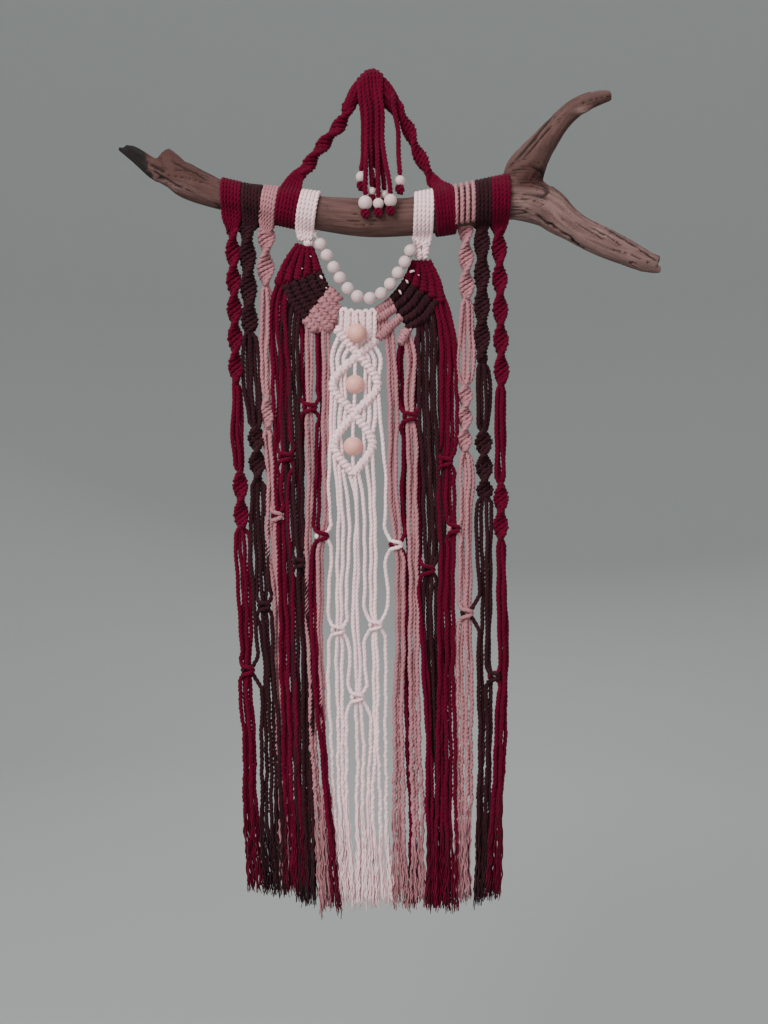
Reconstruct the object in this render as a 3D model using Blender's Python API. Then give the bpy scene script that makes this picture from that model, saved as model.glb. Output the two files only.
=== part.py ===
"""Macrame wall hanging tied on a driftwood branch.

Axes: +X to the right, +Y towards the wall, +Z up. The origin is the underside of the hanger's
bend, where a wall nail carries it. All tables below are in millimetres.
"""
import math

import bpy
import bmesh
from mathutils import Vector

MM = 0.001

# Cord and wood sizes (mm)
CORD_RADIUS = 2.5
TASSEL_RADIUS = 1.8
CORD_SIDES = 3
LAYER = 2.8             # strands of a bunch lie in two layers, this far before and behind its middle
LAYER_DRIFT = 0.07      # each strand lies this much further back than the one before it
CUT_END = 0.6           # radius of a cut end, as a share of the cord's
HEM_STEP = 3.0          # unevenness of the cut ends
AROUND = 10             # sides of the branch and of the loops round it
ARM_FLATNESS = 0.92     # depth to width of the branch's upper arm

# Knots (mm, and shares of a knot's own size)
WRAP_CLEAR = 0.8        # cord loops to bark
WRAP_THICK = 4.6        # one cord thickness round the branch
WRAP_VALLEY = 0.55      # height between two loops
WRAP_ROOT = 0.45        # where in the loops' thickness a hanging strand starts
SINNET_NECK = 0.68      # width between two bulges
SINNET_DEPTH = 0.86     # depth to width
SINNET_TURN = 40.0      # twist in degrees from one ring to the next
BAR_RADIUS = 4.2        # clove-hitch bar of the diamonds
BAR_NECK = 0.8          # its radius between two hitches
BAR_PITCH = 11.0        # one ridge of such a bar
KNOT_DEEP = 5.6         # half depth of a square knot tied round its strands
KNOT_SHALLOW = 3.2      # half depth of one tied in front of its neighbours
FRONT = -9.0            # how far forward such a knot lies
# A square knot from one side to the other: place, half height (mm), share of its depth
KNOT_PROFILE = [(-1.0, 2.2, 0.6), (-0.55, 4.8, 1.0), (0.0, 4.0, 0.86), (0.55, 4.8, 1.0), (1.0, 2.2, 0.6)]

# Beads (mm)
NECK_BEAD = 6.4
NECK_COUNT = 12
NECK_PITCH = 13.75
NECK_DEPTH = -8.0
NECK_BORE = 2.0
STRING_RADIUS = 1.4
WOOD_BEAD = 10.0
WOOD_BORE = 2.7
BEAD_LATITUDES = 4

COLOURS = {
    "bordeaux_cord": (0.135, 0.006, 0.020),
    "brown_cord": (0.038, 0.017, 0.021),
    "pink_cord": (0.470, 0.270, 0.290),
    "white_cord": (0.680, 0.560, 0.580),
    "natural_bead": (0.600, 0.380, 0.330),
    "white_bead": (0.570, 0.480, 0.470),
    "driftwood": (0.150, 0.080, 0.072),
}

# Main limb of the branch: x, top edge, bottom edge, half depth
LIMB = [
    (-265.7, -69.3, -73.5, 2.0),
    (-257.3, -67.2, -78.8, 4.0),
    (-247.8, -70.4, -85.1, 5.5),
    (-236.3, -79.8, -95.6, 7.0),
    (-227.9, -80.9, -102.9, 10.0),
    (-223.5, -73.5, -106.5, 12.0),
    (-216.3, -70.4, -112.4, 13.5),
    (-207.9, -77.7, -117.6, 14.0),
    (-200.6, -84.0, -121.8, 14.0),
    (-186.9, -91.4, -128.1, 14.5),
    (-173.3, -97.7, -132.3, 15.0),
    (-157.5, -105.0, -136.5, 15.0),
    (-128.0, -111.3, -141.8, 15.0),
    (-89.0, -116.6, -151.0, 16.5),
    (-53.6, -121.3, -158.6, 18.0),
    (-2.0, -123.9, -165.9, 20.0),
    (40.0, -122.9, -163.8, 20.0),
    (76.7, -115.5, -159.6, 20.5),
    (113.4, -108.2, -153.3, 21.0),
    (142.8, -101.9, -147.0, 21.0),
    (166.0, -101.9, -150.2, 21.0),
    (184.8, -108.2, -156.5, 19.0),
    (197.4, -120.8, -162.8, 16.5),
    (213.2, -134.4, -171.2, 14.5),
    (239.4, -150.2, -184.8, 13.5),
    (265.7, -164.9, -195.3, 12.0),
    (291.9, -179.6, -201.6, 9.0),
    (304.5, -188.0, -199.5, 5.5),
]

# Upper arm of the fork: x, depth, z, radius
UPPER_ARM = [
    (156.0, 0.0, -122.0, 15.0),
    (167.0, 0.0, -84.0, 17.0),
    (181.7, -1.0, -62.0, 12.2),
    (196.4, -3.0, -44.1, 11.0),
    (214.2, -5.0, -28.4, 10.0),
    (231.0, -6.0, -22.6, 9.0),
    (249.0, -6.0, -18.9, 6.5),
]

# Side columns: node colour, wrap x range and ribs, sinnet x and z at its ends, bulges, half width
COLUMNS = {
    "sinnet_left_bordeaux": ("bordeaux_cord", (-157.5, -138.9, 4), (-146.0, -142.8, -316.0, 5, 7.0)),
    "sinnet_left_brown": ("brown_cord", (-138.2, -121.2, 4), (-131.3, -128.1, -262.5, 4, 7.0)),
    "sinnet_left_pink": ("pink_cord", (-120.5, -102.2, 4), (-110.8, -111.3, -213.0, 2, 8.4)),
    "sinnet_right_pink": ("pink_cord", (85.2, 107.4, 5), (99.0, 99.7, -225.0, 3, 8.4)),
    "sinnet_right_brown": ("brown_cord", (108.1, 123.4, 4), (115.5, 115.5, -294.0, 5, 7.2)),
    "sinnet_right_bordeaux": ("bordeaux_cord", (124.1, 142.6, 4), (133.4, 136.5, -318.0, 5, 7.2)),
}

# Bunches of four strands, from the sinnet to the ridged knot: z, x, pitch, depth
COLUMN_UPPER = {
    "sinnet_left_bordeaux": [(-310, -142.8, 2.6, 0), (-424, -138.3, 2.6, 0)],
    "sinnet_left_brown": [(-257, -128.1, 2.6, 0), (-330, -125.6, 2.6, 0), (-377, -122.6, 2.5, 0)],
    "sinnet_left_pink": [(-208, -111.3, 2.6, 0), (-341, -111.5, 2.6, 0)],
    "sinnet_right_pink": [(-220, 99.7, 2.8, 0), (-328, 98.6, 2.6, 0)],
    "sinnet_right_brown": [(-289, 115.5, 2.6, 0), (-376, 118.0, 2.6, 0)],
    "sinnet_right_bordeaux": [(-313, 136.5, 2.6, 0), (-430, 135.6, 2.6, 0)],
}
# The same strands from the ridged knot to the hem
COLUMN_LOWER = {
    "sinnet_left_bordeaux": [
        (-461, -137.0, 2.6, 0), (-504, -136.5, 3.8, 0), (-588, -135.5, 3.6, 0), (-620, -131.8, 2.6, 0),
        (-672, -130.6, 3.4, 0), (-846, -128.1, 3.2, 0)],
    "sinnet_left_brown": [
        (-416, -121.8, 2.6, 0), (-465, -120.8, 3.0, 0), (-552, -115.0, 2.6, 0), (-640, -113.8, 2.8, 0),
        (-855, -112.4, 2.8, 0)],
    "sinnet_left_pink": [
        (-362, -110.8, 2.6, 0), (-385, -105.0, 2.6, 0), (-458, -104.5, 2.6, 0), (-546, -101.3, 2.6, 0),
        (-850, -97.7, 2.6, 0)],
    "sinnet_right_pink": [
        (-380, 97.1, 2.6, 0), (-471, 96.2, 2.8, 0), (-560, 96.6, 2.8, 0), (-650, 96.0, 3.2, 0),
        (-866, 93.5, 3.0, 0)],
    "sinnet_right_brown": [
        (-432, 119.1, 2.6, 0), (-530, 118.7, 3.2, 0), (-620, 119.0, 2.6, 0), (-864, 112.9, 2.8, 0)],
    "sinnet_right_bordeaux": [
        (-470, 135.5, 2.6, 0), (-546, 136.5, 2.8, 0), (-624, 133.8, 2.6, 0), (-864, 126.0, 2.6, 0)],
}

# Ridged knots lower down the columns: x, z top, z bottom, bulges, half width
COLUMN_LUMPS = {
    "sinnet_left_bordeaux": (-137.5, -418, -467, 2, 8.0),
    "sinnet_left_brown": (-122.4, -372, -421, 2, 7.2),
    "sinnet_left_pink": (-111.3, -335, -368, 2, 6.6),
    "sinnet_right_pink": (98.0, -322, -386, 3, 7.4),
    "sinnet_right_brown": (118.4, -370, -438, 3, 7.4),
    "sinnet_right_bordeaux": (135.5, -424, -476, 2, 7.4),
}

# Square knots of the columns: x, z, half width, depth
COLUMN_KNOTS = {
    "sinnet_left_bordeaux": (-128.6, -621, 6.6, 0),
    "sinnet_left_brown": (-115.0, -552, 6.4, 0),
    "sinnet_right_pink": (96.6, -560, 7.2, 0),
    "sinnet_right_bordeaux": (133.6, -624, 7.0, 0),
}

# Collar sectors: stations across the rows, each with its inner and its outer end (x, z)
COLLAR = {
    "panel_left_bordeaux": [(-62.0, -179.6, -76.7, -177.0), (-58.8, -186.9, -90.3, -197.4),
                            (-55.1, -195.3, -99.8, -220.5)],
    "panel_left_brown": [(-54.6, -195.9, -91.4, -216.7), (-49.9, -206.9, -81.9, -237.3),
                         (-45.2, -216.8, -68.3, -251.5)],
    "panel_left_pink": [(-44.6, -217.2, -67.7, -251.9), (-38.9, -226.8, -54.6, -265.7),
                        (-33.1, -234.7, -41.0, -263.6)],
    "panel_right_pink": [(2.3, -240.9, 9.5, -270.9), (9.5, -236.3, 25.2, -272.0),
                         (16.3, -228.4, 39.9, -262.0)],
    "panel_right_brown": [(16.9, -228.0, 40.5, -261.6), (24.2, -219.5, 56.7, -253.0),
                          (32.0, -209.0, 69.3, -236.3)],
    "panel_right_bordeaux": [(32.4, -208.4, 76.7, -235.2), (36.8, -198.5, 72.5, -212.1),
                             (41.0, -190.6, 62.0, -190.1)],
}
COLLAR_ROWS = 5
COLLAR_CREST = 5.8
COLLAR_VALLEY = 4.3
COLLAR_EDGE = 1.5
ROOT_DEEP = 6.0         # how far a strand's root reaches up into the collar

# White centre of the collar, with upright loops: top and bottom of each station
CENTRE_LOOPS = [(-32.4, -234.9, -35.7, -253.6), (-24.2, -240.5, -25.2, -254.6),
                (-10.5, -242.6, -11.6, -254.8), (1.6, -241.0, 4.4, -254.6)]

# Bunches of the centre panel: node, strands, rooted in the collar's edge, rows as above
PANEL_STRANDS = [
    ("panel_left_bordeaux", 3, False, [
        (-215, -95.5, 2.6, 0), (-235, -98.6, 2.6, 0), (-336, -94.4, 2.6, 0), (-396, -91.0, 2.6, 0),
        (-458, -89.6, 2.6, -7), (-500, -89.3, 2.6, 0), (-651, -87.8, 2.6, 0), (-852, -83.0, 2.6, 0)]),
    ("panel_left_bordeaux", 2, False, [
        (-198, -85.0, 2.6, 3), (-210, -83.5, 2.6, 12), (-226, -79.0, 2.6, 12), (-268, -67.0, 2.6, 12),
        (-302, -59.2, 2.6, 10), (-341, -59.6, 2.6, -8.6), (-380, -60.0, 2.6, -1), (-440, -60.6, 2.6, 0),
        (-479, -60.4, 2.6, -8.6), (-524, -60.2, 2.6, 0), (-640, -58.4, 2.6, -2), (-674, -58.2, 2.6, -10.8),
        (-865, -35.7, 2.6, -10.8)]),
    ("panel_left_brown", 4, True, [
        (-240, -81.0, 3.2, 0), (-273, -81.6, 2.7, 0), (-396, -79.0, 2.6, 0), (-508, -77.6, 2.6, 0),
        (-651, -76.5, 2.6, 0), (-860, -70.6, 2.6, 0)]),
    ("panel_left_pink", 2, True, [
        (-255, -61.0, 2.8, 0), (-282, -66.4, 2.6, 0), (-440, -68.2, 2.6, 0), (-546, -67.2, 2.6, 0),
        (-651, -65.2, 2.6, 0), (-862, -59.0, 2.6, 0)]),
    ("panel_left_pink", 2, True, [
        (-260, -49.5, 2.8, 0), (-285, -51.4, 2.6, 0), (-440, -53.2, 2.6, 0), (-651, -51.5, 2.6, 0),
        (-868, -50.0, 2.6, 0)]),
    ("panel_right_pink", 3, True, [
        (-268, 18.5, 3.2, 0), (-285, 19.0, 2.6, 0), (-336, 21.2, 2.6, 0), (-488, 23.6, 2.6, 0),
        (-651, 27.3, 2.6, 0), (-866, 32.4, 2.6, 0)]),
    ("panel_right_pink", 2, True, [
        (-262, 31.4, 2.6, 0), (-285, 37.6, 2.6, 0), (-420, 39.9, 2.6, 0), (-651, 44.3, 2.6, 0),
        (-864, 49.4, 2.6, 0)]),
    ("panel_right_bordeaux", 2, False, [
        (-212, 58.0, 2.6, 3), (-224, 55.0, 2.6, 12), (-240, 46.0, 2.6, 12), (-280, 32.0, 2.6, 12),
        (-312, 31.0, 2.6, 9), (-352, 32.2, 2.6, -8.6), (-388, 31.6, 2.6, -1), (-440, 31.2, 2.6, 0),
        (-488, 32.0, 2.6, -8.6), (-530, 33.4, 2.6, 0), (-651, 36.0, 2.6, 0), (-866, 41.2, 2.6, 0)]),
    ("panel_right_bordeaux", 2, False, [
        (-216, 66.0, 2.6, 3), (-229, 63.0, 2.6, 12), (-245, 58.0, 2.6, 12), (-282, 50.5, 2.6, 12),
        (-336, 49.0, 2.6, 0), (-440, 49.6, 2.6, 0), (-651, 52.6, 2.6, 0), (-868, 57.4, 2.6, 0)]),
    ("panel_right_brown", 4, True, [
        (-240, 59.0, 3.2, 0), (-270, 59.8, 2.9, 0), (-514, 61.8, 2.6, 0), (-651, 64.2, 2.6, 0),
        (-866, 68.2, 2.6, 0)]),
    ("panel_right_bordeaux", 3, False, [
        (-230, 73.2, 2.6, 0), (-252, 78.2, 2.6, 0), (-401, 78.8, 2.6, 0), (-432, 79.0, 2.6, 0),
        (-471, 79.8, 2.6, -7), (-512, 78.4, 2.6, 0), (-651, 78.8, 2.6, 0), (-870, 80.4, 2.6, 0)]),
]

# Square knots of the centre panel: node, x, z, half width, depth
PANEL_KNOTS = [
    ("panel_left_bordeaux", -90.9, -396, 5.5, 0),
    ("panel_left_bordeaux", -94.0, -458, 6.8, FRONT),
    ("panel_left_bordeaux", -62.6, -344, 6.8, FRONT),
    ("panel_left_bordeaux", -57.4, -479, 6.8, FRONT),
    ("panel_left_brown", -77.6, -508, 6.2, 0),
    ("panel_right_bordeaux", 35.6, -353, 6.8, FRONT),
    ("panel_right_bordeaux", 28.6, -488, 6.8, FRONT),
    ("panel_right_bordeaux", 78.8, -401, 5.8, 0),
    ("panel_right_bordeaux", 84.0, -471, 6.8, FRONT),
    ("panel_right_brown", 61.6, -514, 6.2, 0),
]

# Diamonds of the white centre: corners of the two zigzag bars (x, z)
DIAMOND_LEFT = [(-32.0, -247.0), (-33.2, -259.0), (-15.8, -285.6), (5.8, -318.0), (-18.9, -347.6),
                (-41.0, -385.4), (-19.4, -415.3)]
DIAMOND_RIGHT = [(-1.6, -247.0), (-0.6, -258.5), (-15.8, -285.6), (-42.0, -315.0), (-18.9, -347.6),
                 (-1.0, -381.2), (-19.4, -415.3)]
DIAMOND_LOOPS = [
    [(-33.0, -262.0), (-42.0, -284.0), (-40.5, -313.0)],
    [(0.0, -262.0), (8.5, -285.0), (5.5, -316.0)],
    [(-37.0, -322.0), (-39.0, -350.0), (-39.5, -382.0)],
    [(2.5, -323.0), (3.5, -350.0), (-2.0, -378.0)],
]
# The cord that carries the wooden beads: z, x, depth
BEAD_CORD = [(-248, -15.8, -3), (-254, -15.8, -11.4), (-277, -15.8, -11.4), (-287, -16.2, -2),
             (-298, -17.9, -2), (-341, -17.9, -2), (-350, -18.9, -2), (-363, -20.0, -2),
             (-406, -20.0, -2), (-414, -19.6, -2)]
WOOD_BEADS = [("wood_bead_upper", -15.8, -11.4, -266.4), ("wood_bead_middle", -17.9, -2.0, -319.7),
              ("wood_bead_lower", -20.0, -2.0, -384.6)]

# White strands: strands in the bunch, rows (the first row lies inside a diamond bar)
WHITE_STRANDS = [
    (1, [(-318, -40.0, 0, 2), (-334, -45.4, 0, 2), (-500, -46.4, 0, 2), (-864, -40.6, 0, 2)]),
    (4, [(-399, -31.0, 3.4, 0), (-430, -32.6, 3.6, 0), (-520, -33.6, 3.8, 0), (-577, -33.0, 2.8, 0),
         (-620, -33.0, 3.8, 0), (-872, -28.6, 3.0, 0)]),
    (3, [(-413, -19.0, 2.8, 0), (-432, -16.8, 4.0, 0), (-590, -15.0, 5.4, 0), (-648, -14.7, 2.8, 0),
         (-690, -14.4, 4.4, 0), (-874, -12.6, 4.0, 0)]),
    (3, [(-397, -9.0, 3.2, 0), (-430, 1.0, 3.6, 0), (-520, 3.6, 5.4, 0), (-575, 3.7, 2.8, 0),
         (-620, 4.2, 5.0, 0), (-872, 3.7, 3.8, 0)]),
    (1, [(-320, 5.0, 0, 2), (-334, 11.0, 0, 2), (-440, 13.0, 0, 2), (-546, 16.2, 0, 2),
         (-866, 20.4, 0, 2)]),
]
WHITE_KNOTS = [(-33.0, -577, 7.0, 0), (-14.7, -648, 6.2, 0), (3.7, -575, 6.2, 0)]

# Tabs that carry the centre panel: node, wrap x range and ribs, neck x, neck bottom z, half width
TABS = [
    ("tab_left_white", (-76.6, -54.4, 5), -70.6, -176.4, 8.0),
    ("tab_right_white", (42.0, 62.2, 5), 55.6, -189.4, 7.4),
]

# Course of the beads from tab to tab (x, z), and the string's two ends at the tabs' necks
NECKLACE = [(-60.3, -163.9), (-47.3, -184.8), (-34.0, -206.5), (-25.0, -218.0), (-14.5, -226.4),
            (-2.0, -229.6), (10.0, -225.6), (20.0, -215.0), (33.4, -192.0), (44.6, -170.4)]
STRING_ENDS = [(-62.2, -8.0, -160.85), (47.35, -7.9, -166.05)]

# Hanger: its two ropes, the wraps they end in, and the bend over the nail (x, z)
HANGERS = [
    ("hanger_left_rope", (-101.4, -77.4, 5),
     [(-22.6, -28.6), (-33.6, -42.0), (-44.0, -57.0), (-54.6, -69.0), (-67.2, -84.0), (-78.0, -97.5),
      (-87.0, -106.0), (-89.0, -112.9)]),
    ("hanger_right_rope", (63.0, 84.4, 5),
     [(26.6, -21.8), (34.0, -34.5), (41.0, -47.3), (51.5, -71.0), (60.0, -88.5), (69.0, -102.0),
      (73.0, -111.9)]),
]
ROPE_NECK = 4.6
ROPE_BULGE = 6.6
ROPE_STEP = 9.0
ROPE_TURN = 35.0        # twist in degrees from one ring to the next
BEND = [(-21.6, -26.9), (-15.0, -10.5), (-8.0, 1.6), (1.0, 6.3), (10.0, 3.6), (18.0, -6.0),
        (26.3, -21.35)]
BEND_RADIUS = 6.3
BEND_END = 0.9          # its radius where it meets the ropes, as a share

# Tassel: x at the bend, x, depth and z of its bead, bead radius
TASSEL = [
    (-8.5, -14.6, -20.0, -102.0, 5.4),
    (-4.5, -6.9, -27.0, -129.2, 7.2),
    (-0.8, 0.0, -18.2, -117.6, 4.7),
    (2.8, 3.6, -9.0, -98.7, 5.2),
    (5.8, 7.0, -26.5, -130.2, 5.6),
    (9.6, 13.4, -19.5, -119.2, 5.2),
    (13.4, 20.0, -27.0, -127.0, 6.4),
    (20.0, 29.4, -20.0, -105.0, 5.2),
]
TASSEL_FRONT = -2.5     # depth at which its cords leave the bend
TASSEL_BORE = 2.5
TASSEL_KNOT = 1.5       # the cord's end under its bead, as a share of the cord
TASSEL_END = 1.1
TASSEL_TAIL = 2.4
COURSE_STEPS = 24


def clear_scene():
    """Start from an empty scene."""
    for old in list(bpy.data.objects):
        bpy.data.objects.remove(old, do_unlink=True)


def make_materials():
    """One plain material for each kind of cord, bead and wood."""
    made = {}
    for name, colour in COLOURS.items():
        material = bpy.data.materials.new(name)
        material.use_nodes = True
        shader = material.node_tree.nodes["Principled BSDF"]
        shader.inputs["Base Color"].default_value = (*colour, 1.0)
        shader.inputs["Roughness"].default_value = 0.85
        shader.inputs["Metallic"].default_value = 0.0
        made[name] = material
    return made


def shell(rings, closed=False, paired=False, split=True):
    """A closed mesh through rings of points.

    closed joins the last ring to the first; paired caps a flat ring across, point to point;
    split cuts the four-sided faces, which a straight strand doesn't need.
    """
    work = bmesh.new()
    loops = [[work.verts.new(p * MM) for p in ring] for ring in rings]
    pairs = list(zip(loops, loops[1:]))
    if closed:
        pairs.append((loops[-1], loops[0]))
    for low, high in pairs:
        for k in range(len(low)):
            n = (k + 1) % len(low)
            work.faces.new((low[k], low[n], high[n], high[k]))
    for cap in () if closed else (loops[0], loops[-1]):
        if paired:
            for k in range(len(cap) // 2 - 1):
                work.faces.new((cap[k], cap[k + 1], cap[-2 - k], cap[-1 - k]))
        else:
            work.faces.new(cap)
    if split:
        bmesh.ops.triangulate(work, faces=work.faces[:])
    bmesh.ops.recalc_face_normals(work, faces=work.faces[:])
    mesh = bpy.data.meshes.new("shape")
    work.to_mesh(mesh)
    work.free()
    return mesh


def sweep(path, widths, depths, sides, turn=0.0):
    """A tube along path; turn twists each ring on the one before it."""
    rings = []
    last = len(path) - 1
    for i, centre in enumerate(path):
        along = (path[min(i + 1, last)] - path[max(i - 1, 0)]).normalized()
        across = along.cross(Vector((0, 1, 0))).normalized()
        forward = across.cross(along).normalized()
        ring = []
        for k in range(sides):
            angle = 2 * math.pi * k / sides + turn * i
            ring.append(centre + across * widths[i] * math.cos(angle)
                        + forward * depths[i] * math.sin(angle))
        rings.append(ring)
    return shell(rings, split=turn != 0 or sides > CORD_SIDES)


def add_object(name, mesh, material):
    """A finished, named piece."""
    mesh.name = name
    mesh.materials.clear()
    mesh.materials.append(material)
    piece = bpy.data.objects.new(name, mesh)
    bpy.context.scene.collection.objects.link(piece)
    return piece


def fuse(name, shapes, material):
    """One solid out of overlapping closed shapes."""
    group = bpy.data.collections.new("fused_shapes")
    base = bpy.data.objects.new("fused_base", shapes[0])
    bpy.context.scene.collection.objects.link(base)
    bpy.context.scene.collection.children.link(group)
    for shape in shapes[1:]:
        group.objects.link(bpy.data.objects.new("fused_shape", shape))
    union = base.modifiers.new("union", "BOOLEAN")
    union.operation = "UNION"
    union.solver = "EXACT"
    union.operand_type = "COLLECTION"
    union.collection = group
    solid = bpy.data.meshes.new_from_object(base.evaluated_get(bpy.context.evaluated_depsgraph_get()))
    for helper in [base] + list(group.objects):
        bpy.data.objects.remove(helper, do_unlink=True)
    bpy.data.collections.remove(group)
    work = bmesh.new()
    work.from_mesh(solid)
    bmesh.ops.triangulate(work, faces=work.faces[:])
    work.to_mesh(solid)
    work.free()
    return add_object(name, solid, material)


def limb_section(x):
    """Middle height, half height and half depth of the main limb at x."""
    for low, high in zip(LIMB, LIMB[1:]):
        if low[0] <= x <= high[0]:
            t = (x - low[0]) / (high[0] - low[0])
            top, bottom, depth = (a + (b - a) * t for a, b in zip(low[1:], high[1:]))
            return (top + bottom) / 2, (top - bottom) / 2, depth
    raise ValueError("x is off the limb")


def limb_ring(x, clear):
    """A ring round the main limb at x, clear of its surface."""
    middle, half_height, half_depth = limb_section(x)
    ring = []
    for k in range(AROUND):
        angle = 2 * math.pi * (k + 0.5) / AROUND
        ring.append(Vector((x, (half_depth + clear) * math.cos(angle),
                            middle + (half_height + clear) * math.sin(angle))))
    return ring


def wrap(x_start, x_end, ribs):
    """Cord loops side by side round the branch, as one ribbed band."""
    rings = [limb_ring(x_end, WRAP_CLEAR), limb_ring(x_start, WRAP_CLEAR)]
    step = (x_end - x_start) / (2 * ribs)
    for k in range(2 * ribs + 1):
        height = WRAP_THICK if k % 2 else WRAP_THICK * WRAP_VALLEY
        rings.append(limb_ring(x_start + step * k, WRAP_CLEAR + height))
    return shell(rings, closed=True)


def wrap_underside(x):
    """Height inside the lower part of a wrap, where what hangs from it starts."""
    middle, half_height, _ = limb_section(x)
    return middle - half_height - WRAP_CLEAR - WRAP_ROOT * WRAP_THICK


def ridged_column(start, end, bulges, half_width):
    """A spiral sinnet or stacked knot: bulges with necks between, turning as it goes down."""
    steps = 2 * bulges
    path = [start.lerp(end, k / steps) for k in range(steps + 1)]
    widths = [half_width if k % 2 else half_width * SINNET_NECK for k in range(steps + 1)]
    depths = [w * SINNET_DEPTH for w in widths]
    return sweep(path, widths, depths, 6, turn=math.radians(SINNET_TURN))


def square_knot(x, z, half_width, depth):
    """A flat knot across a bunch: two humps with a waist."""
    deep = KNOT_SHALLOW if depth == FRONT else KNOT_DEEP
    path = [Vector((x + half_width * place, depth, z)) for place, _, _ in KNOT_PROFILE]
    heights = [height for _, height, _ in KNOT_PROFILE]
    depths = [deep * share for _, _, share in KNOT_PROFILE]
    return sweep(path, heights, depths, 6)


def bunch(count, rows, edge=None, hem=HEM_STEP):
    """Strands hanging side by side, staggered in two layers, with an uneven hem."""
    strands = []
    for i in range(count):
        offset = i - (count - 1) / 2
        layer = -LAYER if i % 2 == 0 else LAYER
        path = []
        for row, (z, x, pitch, depth) in enumerate(rows):
            across = x + offset * pitch
            if row == 0 and edge:
                z = height_on(edge, across) + ROOT_DEEP
            if row == len(rows) - 1:
                z -= hem * ((3 * i) % 4 - 1.5)
            path.append(Vector((across, depth + layer + LAYER_DRIFT * i, z)))
        radii = [CORD_RADIUS] * len(path)
        radii[-1] = CORD_RADIUS * CUT_END
        strands.append(sweep(path, radii, radii, CORD_SIDES))
    return strands


def height_on(line, x):
    """Height at x on a line whose points run from left to right."""
    for (x_low, z_low), (x_high, z_high) in zip(line, line[1:]):
        if x_low <= x <= x_high:
            return z_low + (z_high - z_low) * (x - x_low) / (x_high - x_low)
    raise ValueError("a strand is rooted off its line")


def ribbed_slab(stations, rows):
    """A slab of bars lying side by side, swept through stations given by their two ends."""
    rings = []
    steps = 2 * rows
    for x_in, z_in, x_out, z_out in stations:
        front = []
        back = []
        for k in range(steps + 1):
            t = k / steps
            half = COLLAR_CREST if k % 2 else COLLAR_VALLEY
            if k in (0, steps):
                half = COLLAR_EDGE
            x = x_in + (x_out - x_in) * t
            z = z_in + (z_out - z_in) * t
            front.append(Vector((x, -half, z)))
            back.append(Vector((x, half, z)))
        rings.append(front + back[::-1])
    return shell(rings, paired=True)


def hitch_bar(corners):
    """A clove-hitch bar that turns at its corners, with a ridge for each hitch."""
    path = []
    for (x_low, z_low), (x_high, z_high) in zip(corners, corners[1:]):
        low = Vector((x_low, 0, z_low))
        high = Vector((x_high, 0, z_high))
        count = max(2, 2 * round((high - low).length / BAR_PITCH))
        path += [low.lerp(high, k / count) for k in range(count)]
    path.append(Vector((corners[-1][0], 0, corners[-1][1])))
    radii = [BAR_RADIUS if k % 2 else BAR_RADIUS * BAR_NECK for k in range(len(path))]
    return sweep(path, radii, radii, 5)


def bead(name, centre, axis, radius, bore, sides, material):
    """A round bead drilled along axis."""
    limit = math.acos(bore / radius)
    profile = [(radius * math.cos(a), radius * math.sin(a))
               for a in (limit * (2 * k / BEAD_LATITUDES - 1) for k in range(BEAD_LATITUDES + 1))]
    turn = axis.to_track_quat("Z", "Y")
    rings = []
    for distance, height in profile:
        rings.append([centre + turn @ Vector((distance * math.cos(a), distance * math.sin(a), height))
                      for a in (2 * math.pi * k / sides for k in range(sides))])
    return add_object(name, shell(rings, closed=True), material)


def build_branch(paint):
    """Forked driftwood limb, with a broken prong and a knob at its left end."""
    limb = shell([limb_ring(row[0], 0.0) for row in LIMB])
    path = [Vector((x, y, z)) for x, y, z, _ in UPPER_ARM]
    radii = [row[3] for row in UPPER_ARM]
    arm = sweep(path, radii, [r * ARM_FLATNESS for r in radii], 8)
    fuse("driftwood_branch", [limb, arm], paint["driftwood"])


def build_columns(paint):
    """Six side columns: loops round the branch, a spiral sinnet, then loose strands with knots."""
    for name, (colour, (x_start, x_end, ribs), (x_top, x_low, z_low, bulges, half)) in COLUMNS.items():
        top = Vector((x_top, 0, wrap_underside(x_top)))
        shapes = [wrap(x_start, x_end, ribs),
                  ridged_column(top, Vector((x_low, 0, z_low)), bulges, half)]
        x, z_high, z_bottom, count, width = COLUMN_LUMPS[name]
        shapes.append(ridged_column(Vector((x, 0, z_high)), Vector((x, 0, z_bottom)), count, width))
        if name in COLUMN_KNOTS:
            shapes.append(square_knot(*COLUMN_KNOTS[name]))
        shapes += bunch(4, COLUMN_UPPER[name], hem=0.0)
        shapes += bunch(4, COLUMN_LOWER[name])
        fuse(name, shapes, paint[colour])


def build_panel(paint):
    """Coloured parts of the centre panel: collar sector, strands and knots."""
    for name, stations in COLLAR.items():
        edge = sorted((x_out, z_out) for _, _, x_out, z_out in stations)
        shapes = [ribbed_slab(stations, COLLAR_ROWS)]
        for owner, count, rooted, rows in PANEL_STRANDS:
            if owner == name:
                shapes += bunch(count, rows, edge if rooted else None)
        for owner, x, z, half, depth in PANEL_KNOTS:
            if owner == name:
                shapes.append(square_knot(x, z, half, depth))
        fuse(name, shapes, paint[name.split("_")[2] + "_cord"])


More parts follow.
